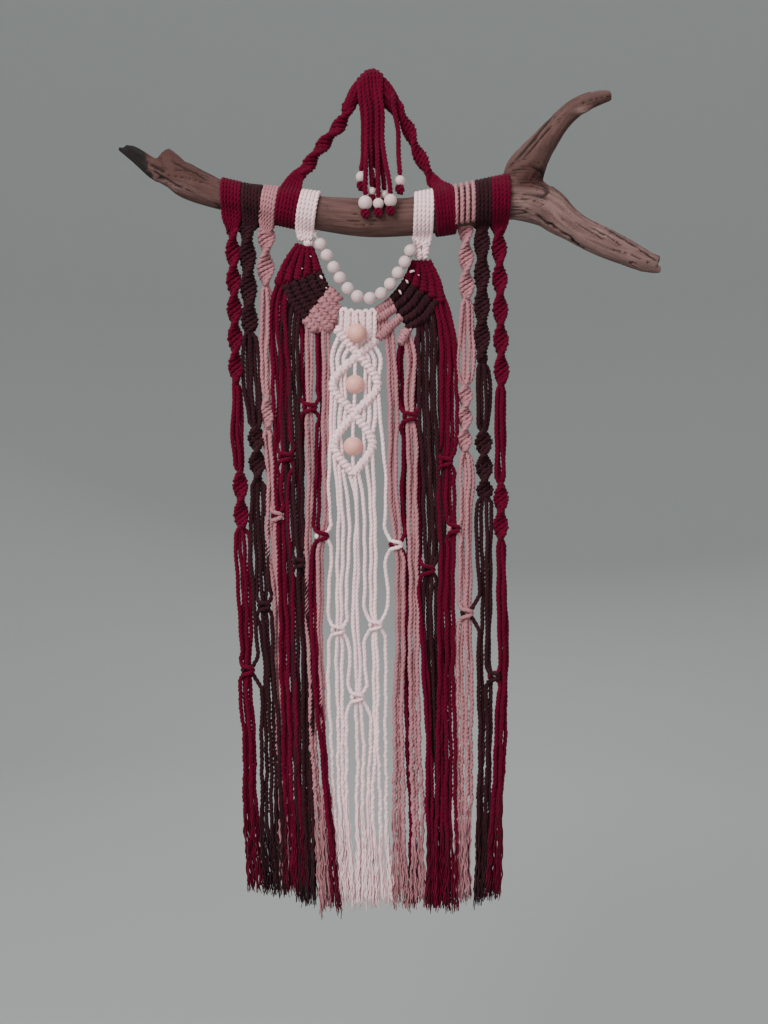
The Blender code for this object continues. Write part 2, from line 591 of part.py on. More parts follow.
def build_white_centre(paint):
    """White middle of the panel: upright loops, two zigzag bars that make diamonds, strands."""
    shapes = [ribbed_slab(CENTRE_LOOPS, 1), hitch_bar(DIAMOND_LEFT), hitch_bar(DIAMOND_RIGHT)]
    for loop in DIAMOND_LOOPS:
        path = [Vector((x, 0, z)) for x, z in loop]
        radii = [CORD_RADIUS] * len(path)
        shapes.append(sweep(path, radii, radii, CORD_SIDES))
    path = [Vector((x, y, z)) for z, x, y in BEAD_CORD]
    radii = [TASSEL_RADIUS] * len(path)
    shapes.append(sweep(path, radii, radii, CORD_SIDES))
    for count, rows in WHITE_STRANDS:
        shapes += bunch(count, rows)
    for knot in WHITE_KNOTS:
        shapes.append(square_knot(*knot))
    fuse("panel_centre_white", shapes, paint["white_cord"])
    for name, x, y, z in WOOD_BEADS:
        bead(name, Vector((x, y, z)), Vector((0, 0, 1)), WOOD_BEAD, WOOD_BORE, 10,
             paint["natural_bead"])


def build_tabs(paint):
    """White loops that carry the centre panel, drawn together in a knotted neck."""
    for name, (x_start, x_end, ribs), x, z_low, half in TABS:
        neck = ridged_column(Vector((x, 0, wrap_underside(x))), Vector((x, 0, z_low)), 1, half)
        fuse(name, [wrap(x_start, x_end, ribs), neck], paint["white_cord"])


def smooth_course(points, step):
    """Points at even steps along a smooth curve through the given ones."""
    ends = [points[0] * 2 - points[1]] + points + [points[-1] * 2 - points[-2]]
    fine = []
    for a, b, c, d in zip(ends, ends[1:], ends[2:], ends[3:]):
        for k in range(COURSE_STEPS):
            t = k / COURSE_STEPS
            fine.append(((b * 2) + (c - a) * t + (a * 2 - b * 5 + c * 4 - d) * t ** 2
                         + (b * 3 - a - c * 3 + d) * t ** 3) / 2)
    fine.append(points[-1])
    course = [fine[0]]
    for point in fine:
        while (point - course[-1]).length >= step:
            course.append(course[-1] + (point - course[-1]).normalized() * step)
    return course


def build_necklace(paint):
    """Round beads on a string that hangs from tab to tab."""
    points = [Vector((x, NECK_DEPTH, z)) for x, z in NECKLACE]
    course = smooth_course(points, NECK_PITCH)
    joints = course[:NECK_COUNT + 1]
    for k, (low, high) in enumerate(zip(joints, joints[1:])):
        bead("neck_bead_%02d" % (k + 1), (low + high) / 2, high - low, NECK_BEAD,
             NECK_BORE, 8, paint["white_bead"])
    path = [Vector(STRING_ENDS[0])] + joints + [Vector(STRING_ENDS[1])]
    radii = [STRING_RADIUS] * len(path)
    add_object("bead_string", sweep(path, radii, radii, CORD_SIDES), paint["white_cord"])


def build_hanger(paint):
    """Twisted hanger: a rope and its wraps on each side, and the bend with the tassel's cords."""
    for name, band, course in HANGERS:
        path = smooth_course([Vector((x, 0, z)) for x, z in course], ROPE_STEP)
        path[-1] = Vector((course[-1][0], 0, course[-1][1]))
        widths = [ROPE_BULGE if k % 2 else ROPE_NECK for k in range(len(path))]
        rope = sweep(path, widths, widths, 6, turn=math.radians(ROPE_TURN))
        fuse(name, [wrap(*band), rope], paint["bordeaux_cord"])
    path = [Vector((x, 0, z)) for x, z in BEND]
    radii = [BEND_RADIUS] * len(path)
    radii[0] = radii[-1] = BEND_RADIUS * BEND_END
    shapes = [sweep(path, radii, radii, 8)]
    for number, (x_top, x, depth, z, radius) in enumerate(TASSEL):
        tail = z - radius - TASSEL_TAIL
        heights = (z + radius + 4, z, z - radius, tail, tail - 4)
        path = [Vector((x_top, TASSEL_FRONT, height_on(BEND, x_top) - 1))]
        path += [Vector((x, depth, height)) for height in heights]
        radii = [TASSEL_RADIUS * share for share in (1, 1, 1, 1, TASSEL_KNOT, TASSEL_END)]
        shapes.append(sweep(path, radii, radii, CORD_SIDES))
        bead("tassel_bead_%d" % (number + 1), Vector((x, depth, z)), Vector((0, 0, 1)), radius,
             TASSEL_BORE, 7, paint["white_bead"])
    fuse("hanger_bend_tassel", shapes, paint["bordeaux_cord"])


clear_scene()
paint = make_materials()
build_branch(paint)
build_columns(paint)
build_panel(paint)
build_white_centre(paint)
build_tabs(paint)
build_necklace(paint)
build_hanger(paint)
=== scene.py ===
import math

import bmesh
import bpy
import numpy as np
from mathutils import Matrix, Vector, noise


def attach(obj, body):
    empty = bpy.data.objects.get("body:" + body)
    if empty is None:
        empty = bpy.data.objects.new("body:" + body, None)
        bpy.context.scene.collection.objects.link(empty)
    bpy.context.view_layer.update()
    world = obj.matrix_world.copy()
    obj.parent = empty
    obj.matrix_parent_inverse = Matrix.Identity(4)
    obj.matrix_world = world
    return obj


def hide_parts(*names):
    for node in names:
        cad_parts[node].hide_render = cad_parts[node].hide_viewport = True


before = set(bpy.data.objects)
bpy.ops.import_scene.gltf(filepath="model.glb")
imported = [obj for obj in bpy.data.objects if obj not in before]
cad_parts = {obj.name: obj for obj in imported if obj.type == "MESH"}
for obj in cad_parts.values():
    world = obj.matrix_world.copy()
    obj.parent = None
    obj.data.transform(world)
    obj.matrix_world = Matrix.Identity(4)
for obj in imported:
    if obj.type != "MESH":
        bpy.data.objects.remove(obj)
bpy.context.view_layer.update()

bpy.ops.object.select_all(action="DESELECT")


# ------------------------------
# Camera, room and light. The hanging is seen straight on from its middle height, in a plain pale
# room with a rounded floor edge. Large soft lights stand at the upper left, at the right and behind.

VIEW_DISTANCE = 1.2     # metres, as all sizes of the room
VIEW_HEIGHT = 1.0752    # height of what the camera sees at the hanging
SENSOR = 36.0
ROOM_RADIUS, ROOM_HEIGHT, ROOM_MIDDLE, FLOOR_ROUNDING = 4.4, 6.0, 1.75, 1.8
LAMP_COLOUR = (1.0, 0.95, 0.94)
LAMP_AIM = Vector((0, 0, -0.4))
# Name, place, size, power in watts
LAMPS = [("window_light", (-1.6, -2.4, 1.0), 2.0, 150.0), ("front_light", (1.4, -2.6, 0.0), 2.2, 26.0),
         ("back_light", (0.5, 2.8, 1.2), 2.4, 56.0)]


def place_in_room(name, data):
    """Put an object made of this data in the room."""
    made = bpy.data.objects.new(name, data)
    bpy.context.scene.collection.objects.link(made)
    return made


def surface(name, settings):
    """A new material with these settings; returned with its node tree and its surface node."""
    made = bpy.data.materials.new(name)
    made.use_nodes = True
    face = made.node_tree.nodes["Principled BSDF"]
    for setting, value in settings.items():
        face.inputs[setting].default_value = value
    return made, made.node_tree, face


lens = bpy.data.cameras.new("camera")
lens.sensor_fit = "VERTICAL"
lens.sensor_height = SENSOR
lens.lens = SENSOR * VIEW_DISTANCE / VIEW_HEIGHT
camera = place_in_room("camera", lens)
camera.location = (0.0126, -VIEW_DISTANCE, -0.4536)
camera.rotation_euler = (math.radians(90), 0, 0)
bpy.context.scene.camera = camera

bpy.ops.mesh.primitive_cylinder_add(vertices=96, radius=ROOM_RADIUS, depth=ROOM_HEIGHT,
                                    location=(0, 0, ROOM_MIDDLE))
room = bpy.context.object
room.name = "room"
bpy.ops.object.transform_apply(location=True)
shape = bmesh.new()
shape.from_mesh(room.data)
bmesh.ops.delete(shape, geom=[f for f in shape.faces if f.normal.z > 0.9], context="FACES")
floor_edge = [e for e in shape.edges if all(v.co.z < 0 for v in e.verts)]
bmesh.ops.bevel(shape, geom=floor_edge, offset=FLOOR_ROUNDING, segments=16, profile=0.5, affect="EDGES")
bmesh.ops.reverse_faces(shape, faces=shape.faces[:])
shape.to_mesh(room.data)
shape.free()
room.data.shade_smooth()
plaster = surface("pale_plaster", {"Base Color": (0.272, 0.293, 0.286, 1), "Roughness": 0.95})[0]
room.data.materials.append(plaster)

world = bpy.data.worlds.new("world")
bpy.context.scene.world = world
world.use_nodes = True
daylight = world.node_tree.nodes["Background"]
daylight.inputs["Color"].default_value = (0.97, 0.97, 1.0, 1)
daylight.inputs["Strength"].default_value = 1.45
for lamp_name, place, size, power in LAMPS:
    light = bpy.data.lights.new(lamp_name, "AREA")
    light.size, light.energy, light.color = size, power, LAMP_COLOUR
    lamp = place_in_room(lamp_name, light)
    lamp.location = place
    lamp.rotation_euler = (LAMP_AIM - Vector(place)).to_track_quat("-Z", "Y").to_euler()


# ------------------------------
# Driftwood branch. A weathered, barkless limb with a fork on its right, and a knob and a broken,
# blackened prong on its left. Its surface is worn along the grain into grooves and cracks.

MM = 0.001              # from here on all sizes are in mm, and the scene is in metres
# Middle lines: x, y, z, radius
LIMB = [
    (-236, 0, -88.5, 8.2), (-228, 0, -92, 11.2), (-216, 0, -97, 13.6), (-207, 0, -100, 15.6),
    (-200, 0, -103.2, 17.6), (-187, 0, -109.8, 18), (-173, 0, -115.4, 17), (-157.5, 0, -121.6, 15.2),
    (-128, 0, -127.8, 14.4), (-89, 0, -133.8, 17), (-53.6, 0, -140, 18.4), (-2, 0, -144.9, 20.6),
    (40, 0, -143.4, 20.2), (76.7, 0, -137.6, 21.6), (113.4, 0, -130.8, 22), (142.8, 0, -124.5, 22),
    (166, 0, -126.5, 22.8), (184.8, 0, -134.2, 21.4), (197.4, 0, -145, 18.8), (213.2, 0, -155.4, 16.2),
    (239.4, 0, -168.6, 15.6), (265.7, 0, -180.3, 14), (288, 0, -190.4, 11.4), (299, 0, -194, 8.4)]
KNOB = [(-205, -2, -97, 14.6), (-213, -2, -86, 12), (-219.6, -2, -79.4, 10.4)]
PRONG_UPPER = [
    (-224, 0, -94, 8), (-234, 0, -86.5, 7.4), (-243, 0, -79.6, 6.2), (-252, 0, -73.2, 4.8),
    (-259.6, 0, -69.8, 3)]
PRONG_LOWER = [
    (-222, -2, -102, 7.6), (-235, -2, -94, 6), (-247, -2, -84.4, 4.8), (-258, -2, -76.6, 4),
    (-266, -2, -72.2, 2.6)]
ARM = [
    (155, 0, -118, 19), (160, 0, -98, 22), (169, 0, -82, 18.2), (183.4, -1, -62, 13.4),
    (197.6, -3, -44.5, 11.2), (215, -5, -29.6, 10), (231, -6, -22.6, 8.8), (243, -6, -19.5, 7),
    (250, -6, -18.4, 5.4)]
SLIVER = [(208, -9, -38, 3), (219, -11, -35.6, 4.2), (230, -10, -31, 2.6)]
END_UPPER = [(286, 0, -186, 8), (296, 0, -187.4, 5.6), (302.6, 0, -188.2, 3.8)]
END_LOWER = [(284, 0, -194, 8), (296, 0, -198, 5.4), (303.4, 0, -199.2, 3.6)]
# Long splits that opened as the wood dried: x and z of both ends, width
SPLITS = [
    (-256, -75.4, -238, -87.2, 1.6), (-232.5, -90.8, -214.2, -101.2, 1.5),
    (-222.8, -104.3, -215.9, -107.3, 1.5), (-231, -96.6, -196.4, -119, 0.9), (-210, -88, -168, -110, 0.8),
    (146.7, -91.4, 190, -37.8, 1.3), (158, -86, 188, -50.4, 1), (151.2, -84, 173.3, -62, 1),
    (182, -108, 215.3, -140.7, 1.1), (215.3, -140.7, 281.4, -180.6, 1.1), (209, -152, 242.6, -172, 0.7),
    (169, -145, 194, -160, 0.7), (194, -160, 231, -184, 0.7), (226, -157, 262, -178, 0.6),
    (277, -178.5, 299, -192.6, 1.2), (164, -96, 186, -104, 1.6)]
LIMB_STEP = 3.0         # spacing of the points along a limb
SKIN_STEP = 1.5         # size of the faces of the skin
LIMB_SHIFT = 137.0      # sets the grain of one limb apart from the next
LUMP = 38.0             # size of the slow lumps of the surface
SWAY = 5.0              # how far a lump pushes the grain aside
RAGGED = 5.0            # size of the ragged edges of splits and char
AT_ONCE = 4000          # vertices measured at a time, to save memory
# Length along the grain, width across it and a shift, for grooves, fine grooves and small cracks
GROOVE, FINE_GROOVE, SMALL_CRACK = (55, 3.2, 0), (22, 1.5, 7), (95, 9.0, 31)
CRACK_LIMIT = 0.04      # noise below this is a small crack
DEEPEST, HIGHEST = -3.0, 0.5


def lengths(points):
    """Length along a line from its first point to each of its points."""
    return np.concatenate([[0], np.cumsum(np.linalg.norm(np.diff(points, axis=0), axis=1))])


def unit(directions):
    """The same directions, each one long."""
    return directions / np.linalg.norm(directions, axis=1)[:, None]


def smooth_line(points, step):
    """Evenly spaced points on a smooth curve through the given ones."""
    p = np.array(points, dtype=float)
    span = np.linalg.norm(np.diff(p[:, :3], axis=0), axis=1)[:, None]
    slope = np.diff(p, axis=0) / span
    inner = (slope[:-1] * span[1:] + slope[1:] * span[:-1]) / (span[:-1] + span[1:])
    tangent = np.vstack([slope[:1], inner, slope[-1:]])
    t = np.linspace(0, 1, 12, endpoint=False)[:, None]
    fine = []
    for i in range(len(span)):
        fine.append(p[i] * (1 + 2 * t) * (1 - t) ** 2 + tangent[i] * span[i] * t * (1 - t) ** 2
                    + p[i + 1] * t * t * (3 - 2 * t) + tangent[i + 1] * span[i] * t * t * (t - 1))
    fine = np.vstack(fine + [p[-1:]])
    run = lengths(fine[:, :3])
    at = np.linspace(0, run[-1], max(3, int(round(run[-1] / step)) + 1))
    return np.stack([np.interp(at, run, fine[:, k]) for k in range(p.shape[1])], axis=1)


def only(piece):
    """Select one object and make it active."""
    bpy.ops.object.select_all(action="DESELECT")
    piece.select_set(True)
    bpy.context.view_layer.objects.active = piece


def sweep(name, curve_name, lines, **settings):
    """A mesh object swept along lines; each line is its points, radii and the length of one turn."""
    data = bpy.data.curves.new(curve_name, "CURVE")
    data.dimensions = "3D"
    data.use_fill_caps = True
    for setting, value in settings.items():
        setattr(data, setting, value)
    for points, radii, lay in lines:
        spline = data.splines.new("POLY")
        spline.points.add(len(points) - 1)
        spline.use_smooth = True
        spline.points.foreach_set("co", np.hstack([points * MM, np.ones((len(points), 1))]).ravel())
        spline.points.foreach_set("radius", np.broadcast_to(np.asarray(radii) * MM, len(points)).copy())
        spline.points.foreach_set("tilt", 2 * math.pi * lengths(points) / lay)
    only(place_in_room(name, data))
    bpy.ops.object.convert(target="MESH")
    return bpy.context.object


def read_skin(field):
    """The branch's points or normals."""
    values = np.zeros(len(branch.data.vertices) * 3)
    branch.data.vertices.foreach_get(field, values)
    return values.reshape(-1, 3)


wood_lines = [smooth_line(line, LIMB_STEP)
              for line in (LIMB, KNOB, PRONG_UPPER, PRONG_LOWER, ARM, SLIVER, END_UPPER, END_LOWER)]
branch = sweep("weathered_branch", "limb", [(line[:, :3], line[:, 3], math.inf) for line in wood_lines],
               bevel_depth=1.0, bevel_resolution=6)
remesh = branch.modifiers.new("one_skin", "REMESH")
remesh.mode = "VOXEL"
remesh.voxel_size = SKIN_STEP * MM
bpy.ops.object.modifier_apply(modifier=remesh.name)
soften = branch.modifiers.new("soften", "SMOOTH")
soften.iterations = 5
bpy.ops.object.modifier_apply(modifier=soften.name)

# Where each point of the skin lies in the grain: length along its limb, width round it, which limb
skin, normals = read_skin("co") / MM, read_skin("normal")
grain = np.zeros((len(skin), 3))
nearest = np.full(len(skin), 1e9)
for limb, line in enumerate(wood_lines):
    middle, radius = line[:, :3], line[:, 3]
    run, heading = lengths(middle), unit(np.gradient(middle, axis=0))
    for start in range(0, len(skin), AT_ONCE):
        part = skin[start:start + AT_ONCE]
        share = np.linalg.norm(part[:, None, :] - middle[None], axis=2) / radius[None]
        best, value = share.argmin(axis=1), share.min(axis=1)
        offset = part - middle[best]
        along = run[best] + (offset * heading[best]).sum(axis=1) + LIMB_SHIFT * limb
        around = np.arctan2(offset[:, 2], -offset[:, 1]) * radius[best]
        closer = value < nearest[start:start + AT_ONCE]
        rows = start + np.flatnonzero(closer)
        nearest[rows] = value[closer]
        grain[rows] = np.stack([along, around, np.full(len(part), limb)], axis=1)[closer]

ragged = np.array([noise.noise(Vector(spot / RAGGED)) for spot in skin])
# Mask of the splits: it cuts them into the skin, and the material paints them near black, which is
# painted shade in their depth
crack = np.zeros(len(skin))
for x_from, z_from, x_to, z_to, width in SPLITS:
    start, span = np.array((x_from, z_from)), np.array((x_to - x_from, z_to - z_from))
    front = skin[:, [0, 2]]
    t = np.clip((front - start) @ span / (span @ span), 0, 1)
    gap = np.linalg.norm(front + 0.8 * ragged[:, None] - start - t[:, None] * span, axis=1)
    crack = np.maximum(crack, np.clip(1.5 - gap / width, 0, 1) * (skin[:, 1] < 0)
                       * np.clip(8 * t * (1 - t), 0, 1))
depth = np.zeros(len(skin))
for i, (along, around, limb) in enumerate(grain):
    lump = noise.noise(Vector(skin[i] / LUMP))
    ring = around + SWAY * lump
    groove, fine, split = (noise.noise(Vector((along / long, ring / wide, shift + limb)))
                           for long, wide, shift in (GROOVE, FINE_GROOVE, SMALL_CRACK))
    if abs(split) < CRACK_LIMIT and noise.noise(Vector(skin[i] / 60 + (0, 0, 9))) > 0.02:
        crack[i] = max(crack[i], (CRACK_LIMIT - abs(split)) / CRACK_LIMIT)
    depth[i] = 0.9 * lump - 0.5 + 0.55 * groove + 0.25 * fine - 1.7 * crack[i] ** 0.7
skin = (skin + normals * np.clip(depth, DEEPEST, HIGHEST)[:, None]) * MM
branch.data.vertices.foreach_set("co", skin.ravel())

x_mm, z_mm = skin[:, 0] / MM, skin[:, 2] / MM


def ramp(value, width):
    """From 0 to 1 over a width."""
    return np.clip(value / width, 0, 1)


def patch(x, z, half_width, half_height):
    """A soft round patch on the branch."""
    return np.exp(-((x_mm - x) / half_width) ** 2 - ((z_mm - z) / half_height) ** 2)


# The char of the prong; lines along a splinter, along the left end and under the fork
char = 1 / (1 + np.exp(np.clip((x_mm + 234.5 + 0.3 * (z_mm + 88) + 5.0 * ragged) / 0.7, -40, 40)))
splinter = np.abs((z_mm + 93.0) * 0.77 + (x_mm + 233.0) * 0.64) + 4 * ragged
above = z_mm + 94.0 + 0.39 * (x_mm + 234)
edge = (z_mm + 104) * 0.82 + (x_mm - 184) * 0.55
pale = np.maximum.reduce([
    ramp(x_mm - 140, 10) * ramp(-z_mm - 117 + 0.1 * (x_mm - 150), 7),
    np.clip(1.4 - splinter / 2.0, 0, 0.7) * (np.abs(x_mm + 218) < 15),
    patch(219, -37, 9, 3.4),
    0.5 * np.exp(-((above + 9) / 4.5) ** 2) * ramp(-165 - x_mm, 20) * (char < 0.5)])
knot = (0.55 * np.exp(-(edge / 4.0) ** 2) * (x_mm > 180) * (z_mm < -98)
        + np.clip(1.15 * patch(167, -107, 19, 14), 0, 0.92)
        + (0.40 + 0.24 * np.clip(above / 7, -1, 1)) * ramp(-150 - x_mm, 30))
for layer_name, values in (("grain", grain * MM), ("crack", crack), ("char", char), ("pale", pale),
                           ("knot", knot)):
    kind, field = ("FLOAT_VECTOR", "vector") if values.ndim == 2 else ("FLOAT", "value")
    layer = branch.data.attributes.new(layer_name, kind, "POINT")
    layer.data.foreach_set(field, values.astype(np.float32).ravel())
branch.data.shade_smooth()


def node(tree, kind, sockets, **settings):
    """A new shader node; each socket gets a value or another node's output."""
    made = tree.nodes.new("ShaderNode" + kind)
    for setting, value in settings.items():
        setattr(made, setting, value)
    for socket, value in sockets.items():
        if isinstance(value, bpy.types.NodeSocket):
            tree.links.new(value, made.inputs[socket])
        else:
            made.inputs[socket].default_value = value
    return made.outputs


def attribute(tree, name, output="Fac"):
    """Read a value stored on the mesh."""
    return node(tree, "Attribute", {}, attribute_name=name)[output]


def mix_colours(tree, factor, low, high):
    """A mix of two colours; each is a colour or another node's output."""
    low, high = ((*value, 1) if isinstance(value, tuple) else value for value in (low, high))
    return node(tree, "Mix", {"Factor": factor, 6: low, 7: high}, data_type="RGBA")[2]


def patches(tree, place, stretch, scale, detail, low, high):
    """Noise, stretched by a different amount along each axis and spread between two levels."""
    place = node(tree, "Mapping", {"Vector": place, "Scale": stretch})["Vector"]
    noisy = node(tree, "TexNoise", {"Vector": place, "Scale": scale, "Detail": detail})["Fac"]
    return node(tree, "MapRange", {"Value": noisy, "From Min": low, "From Max": high})["Result"]


def weaker(tree, value, share):
    """A share of a value."""
    return node(tree, "Math", {0: value, 1: share}, operation="MULTIPLY")[0]


def dress(tree, face, colour, height, strength, distance):
    """Give a surface its colour and its fine relief."""
    relief = node(tree, "Bump", {"Strength": strength, "Distance": distance, "Height": height})["Normal"]
    tree.links.new(relief, face.inputs["Normal"])
    tree.links.new(colour, face.inputs["Base Color"])


wood, tree, face = surface("driftwood_grain", {"Roughness": 0.85, "Specular IOR Level": 0.25})
grain_place = attribute(tree, "grain", "Vector")
streaks, threads, specks, blotches = (
    patches(tree, grain_place, stretch, 2.0, detail, low, high) for stretch, detail, low, high in (
        ((12, 160, 40), 6, 0.3, 0.7), ((30, 700, 40), 3, 0.3, 0.7), ((90, 220, 40), 3, 0.62, 0.74),
        ((22, 60, 40), 4, 0.35, 0.65)))
tone = mix_colours(tree, streaks, (0.060, 0.030, 0.027), (0.165, 0.086, 0.076))
for cover, colour in (
        (attribute(tree, "pale"),
         mix_colours(tree, streaks, (0.150, 0.086, 0.079), (0.300, 0.190, 0.175))),
        (weaker(tree, blotches, 0.38), (0.075, 0.034, 0.029)),
        (attribute(tree, "knot"), (0.046, 0.013, 0.011)),
        (weaker(tree, threads, 0.45), (0.060, 0.032, 0.028)),
        (specks, (0.034, 0.019, 0.016)),
        (attribute(tree, "char"),
         mix_colours(tree, streaks, (0.003, 0.002, 0.002), (0.017, 0.013, 0.013))),
        # The splits painted near black: painted shade in their depth
        (attribute(tree, "crack"), (0.012, 0.007, 0.006))):
    tone = mix_colours(tree, cover, tone, colour)
dress(tree, face, tone, threads, 0.6, 0.0006)
branch.data.materials.append(wood)
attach(branch, "root")
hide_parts("driftwood_branch")


# ------------------------------
# Loose strands. Under the columns and the panel, soft three-ply cotton cord hangs in bunches, two
# layers deep. Each strand has slight waves, and curls more where it begins to unravel.

STEP = 1.9              # spacing of the points along a cord
LAYER = 1.7             # a bunch's two layers hang this far in front and behind
rng = np.random.default_rng(11)
# Bunches: how many strands, depth at their top, middle and end, and z, x, pitch down their length
STRANDS = {
    "left_bordeaux_column": [(4, 0, 0, 0, [
        (-310, -142.8, 2.2), (-336, -141.2, 2.4), (-362, -142.2, 3), (-394, -140, 2.4),
        (-440, -138.4, 2.2), (-469, -136.9, 4.2), (-521, -134.5, 4.1), (-575, -133.4, 3.4),
        (-604, -132.3, 2.8), (-640, -132.3, 3.3), (-680, -130.3, 3.4), (-754, -127.6, 3.7),
        (-808, -123.6, 4.6), (-847, -119.6, 5.4)])],
    "left_brown_column": [(5, 0, 0, -1, [
        (-260, -128.1, 2.4), (-304, -126.5, 4.4), (-352, -123.9, 3.2), (-384, -121.5, 2.4),
        (-420, -119.2, 3.4), (-467, -118.7, 4.2), (-522, -116.6, 4.4), (-575, -113.4, 4),
        (-606, -110.4, 3.4), (-680, -106.8, 4.4), (-772, -105, 5), (-855, -100, 5.2)])],
    "left_pink_column": [(4, 0, 0, 3, [
        (-210, -111.4, 2.6), (-262, -110.8, 2.8), (-304, -111.5, 2.8), (-350, -109.7, 2.4),
        (-385, -107.1, 2.6), (-413, -105.2, 2.8), (-449, -106, 2.6), (-485, -102.9, 3.8),
        (-540, -99.8, 2.8), (-606, -98.1, 2.6), (-661, -96.8, 2.6), (-754, -92.8, 2.4),
        (-846, -90.4, 2.2)])],
    "right_pink_column": [(4, 0, 0, 0, [
        (-224, 99.4, 3), (-262, 98.9, 4.2), (-304, 98.4, 5), (-330, 98.2, 2.6), (-385, 97.2, 2.4),
        (-399, 98.7, 3.6), (-457, 98.7, 3.6), (-497, 97.1, 3.4), (-540, 97.3, 3.4), (-588, 96.6, 4.6),
        (-735, 96.6, 4.8), (-808, 95.6, 3.8), (-861, 96.4, 3.4)])],
    "right_brown_column": [(4, 0, 0, 0, [
        (-290, 115.5, 2.6), (-320, 117.6, 4.2), (-362, 117.6, 3.2), (-400, 117.6, 2.4), (-441, 117.6, 5),
        (-467, 117.6, 5.4), (-522, 118.7, 4), (-588, 117.6, 4), (-680, 118.6, 4), (-791, 117, 3.8),
        (-863, 115.5, 4.6)])],
    "right_bordeaux_column": [(4, 0, 0, 0, [
        (-312, 136, 2.2), (-336, 134.9, 2.8), (-410, 134.9, 2.6), (-484, 134.8, 2.4), (-540, 136.5, 2.6),
        (-606, 137.4, 2.8), (-680, 135.5, 2.8), (-735, 133, 3.2), (-791, 130.2, 3.6), (-858, 127, 4.2)])],
    "left_bordeaux_panel": [(5, 3, 0, 0, [
        (-196, -84, 2), (-212, -92.6, 2.5), (-235, -98, 3.2), (-257, -99, 3.8), (-304, -95.6, 4.2),
        (-357, -94.5, 4.2), (-413, -94.6, 3.4), (-467, -93.5, 3), (-522, -90.7, 3.2), (-588, -88.7, 3.4),
        (-680, -86.6, 3.4), (-754, -83.7, 4), (-852, -80.3, 4.4)]), (2, 9, 4, 4, [
        (-205, -88, 2.6), (-235, -82, 2.6), (-262, -73.6, 3.2), (-336, -73.6, 3), (-378, -74.5, 2.6),
        (-430, -75, 2.4), (-560, -72, 2.4), (-700, -70, 2.4), (-850, -66.5, 3)]), (2, 9, 4, -4, [
        (-205, -82, 2.6), (-228, -74, 2.6), (-256, -58.6, 3.4), (-285, -56.2, 3.8), (-378, -56.2, 3.8),
        (-441, -57.2, 3.8), (-497, -61.6, 3.6), (-547, -62, 3.4), (-594, -60.2, 3.4), (-665, -54.8, 3.4),
        (-753, -46.5, 3.4), (-868, -35.7, 3.6)])],
    "left_brown_panel": [(5, 4, 0, 0, [
        (-224, -76, 3.2), (-238, -82, 4), (-257, -86.1, 4.4), (-336, -85, 4.2), (-413, -82.6, 4.2),
        (-467, -79.8, 4), (-543, -76.1, 3.7), (-625, -72.7, 4.2), (-717, -71.8, 4.3), (-808, -68.8, 4),
        (-862, -67.7, 4)])],
    "left_pink_panel": [(2, 2, 0, 0, [
        (-250, -64.4, 4.4), (-262, -65.6, 4.8), (-336, -65.4, 4.4), (-378, -65.7, 3.8),
        (-441, -65.6, 3.8), (-497, -67.2, 3), (-547, -67.2, 2.8), (-594, -65.1, 2.8), (-665, -62.5, 3),
        (-753, -57.8, 4), (-868, -51.5, 4)]), (2, 2, 0, 0, [
        (-254, -48.5, 4.4), (-336, -48.3, 4.2), (-420, -48.3, 4.2), (-457, -47.3, 4.2),
        (-497, -54.8, 3.8), (-547, -54.6, 3.6), (-594, -54.6, 3.2), (-665, -52.5, 2.8),
        (-753, -49.6, 3.6), (-868, -45, 4)])],
    "right_brown_panel": [(6, 4, 0, 3, [
        (-226, 52, 3), (-242, 57, 3.8), (-262, 59.4, 4.2), (-336, 60, 4.2), (-441, 65, 4), (-500, 66, 4),
        (-547, 64.6, 4), (-594, 65.1, 4), (-665, 68.7, 3.8), (-753, 69.3, 3.8), (-866, 71.4, 3.8)])],
    "right_bordeaux_panel": [(2, 9, 4, 4, [
        (-212, 62, 2.6), (-240, 48, 2.6), (-275, 32, 3), (-336, 30.5, 3.6), (-378, 33.6, 2.6),
        (-441, 33.3, 2.6), (-497, 36.8, 2.6), (-547, 36.8, 2.6), (-665, 37, 2.6), (-753, 41, 3),
        (-866, 44, 3.4)]), (2, 9, 4, -2, [
        (-214, 66, 2.6), (-245, 58, 2.6), (-275, 47.5, 3), (-336, 46.2, 3.2), (-378, 49.9, 3),
        (-441, 50.4, 2.6), (-547, 51, 2.6), (-594, 53.6, 3), (-665, 58.8, 3.4), (-753, 60, 4.6),
        (-866, 62, 5.4)]), (5, 4, 0, -2, [
        (-198, 60, 1.6), (-210, 65, 1.9), (-224, 69.6, 2.3), (-240, 73, 2.8), (-262, 78, 3.6),
        (-336, 80.9, 3.8), (-420, 78.4, 4), (-497, 78.8, 3.8), (-594, 77.7, 3.6), (-665, 77.7, 4),
        (-753, 77.7, 4.8), (-868, 78.8, 5.2)])],
    "right_pink_panel": [(3, 2, 0, 0, [
        (-256, 17, 3.8), (-285, 19.6, 3.8), (-336, 21.9, 3.2), (-420, 22.3, 3.2), (-457, 24.2, 3.2),
        (-497, 28.9, 3.6), (-594, 28.7, 3.4), (-665, 27.8, 3.8), (-753, 28.3, 4.8),
        (-866, 31.5, 4.8)]), (3, 2, 0, 0, [
        (-262, 34, 3.4), (-280, 39.4, 3.6), (-336, 39.7, 3.6), (-378, 41.6, 3.8), (-441, 42.5, 3.8),
        (-547, 44.4, 3.8), (-665, 44.6, 4.2), (-753, 47.3, 4.8), (-866, 49.4, 4.8)])],
}
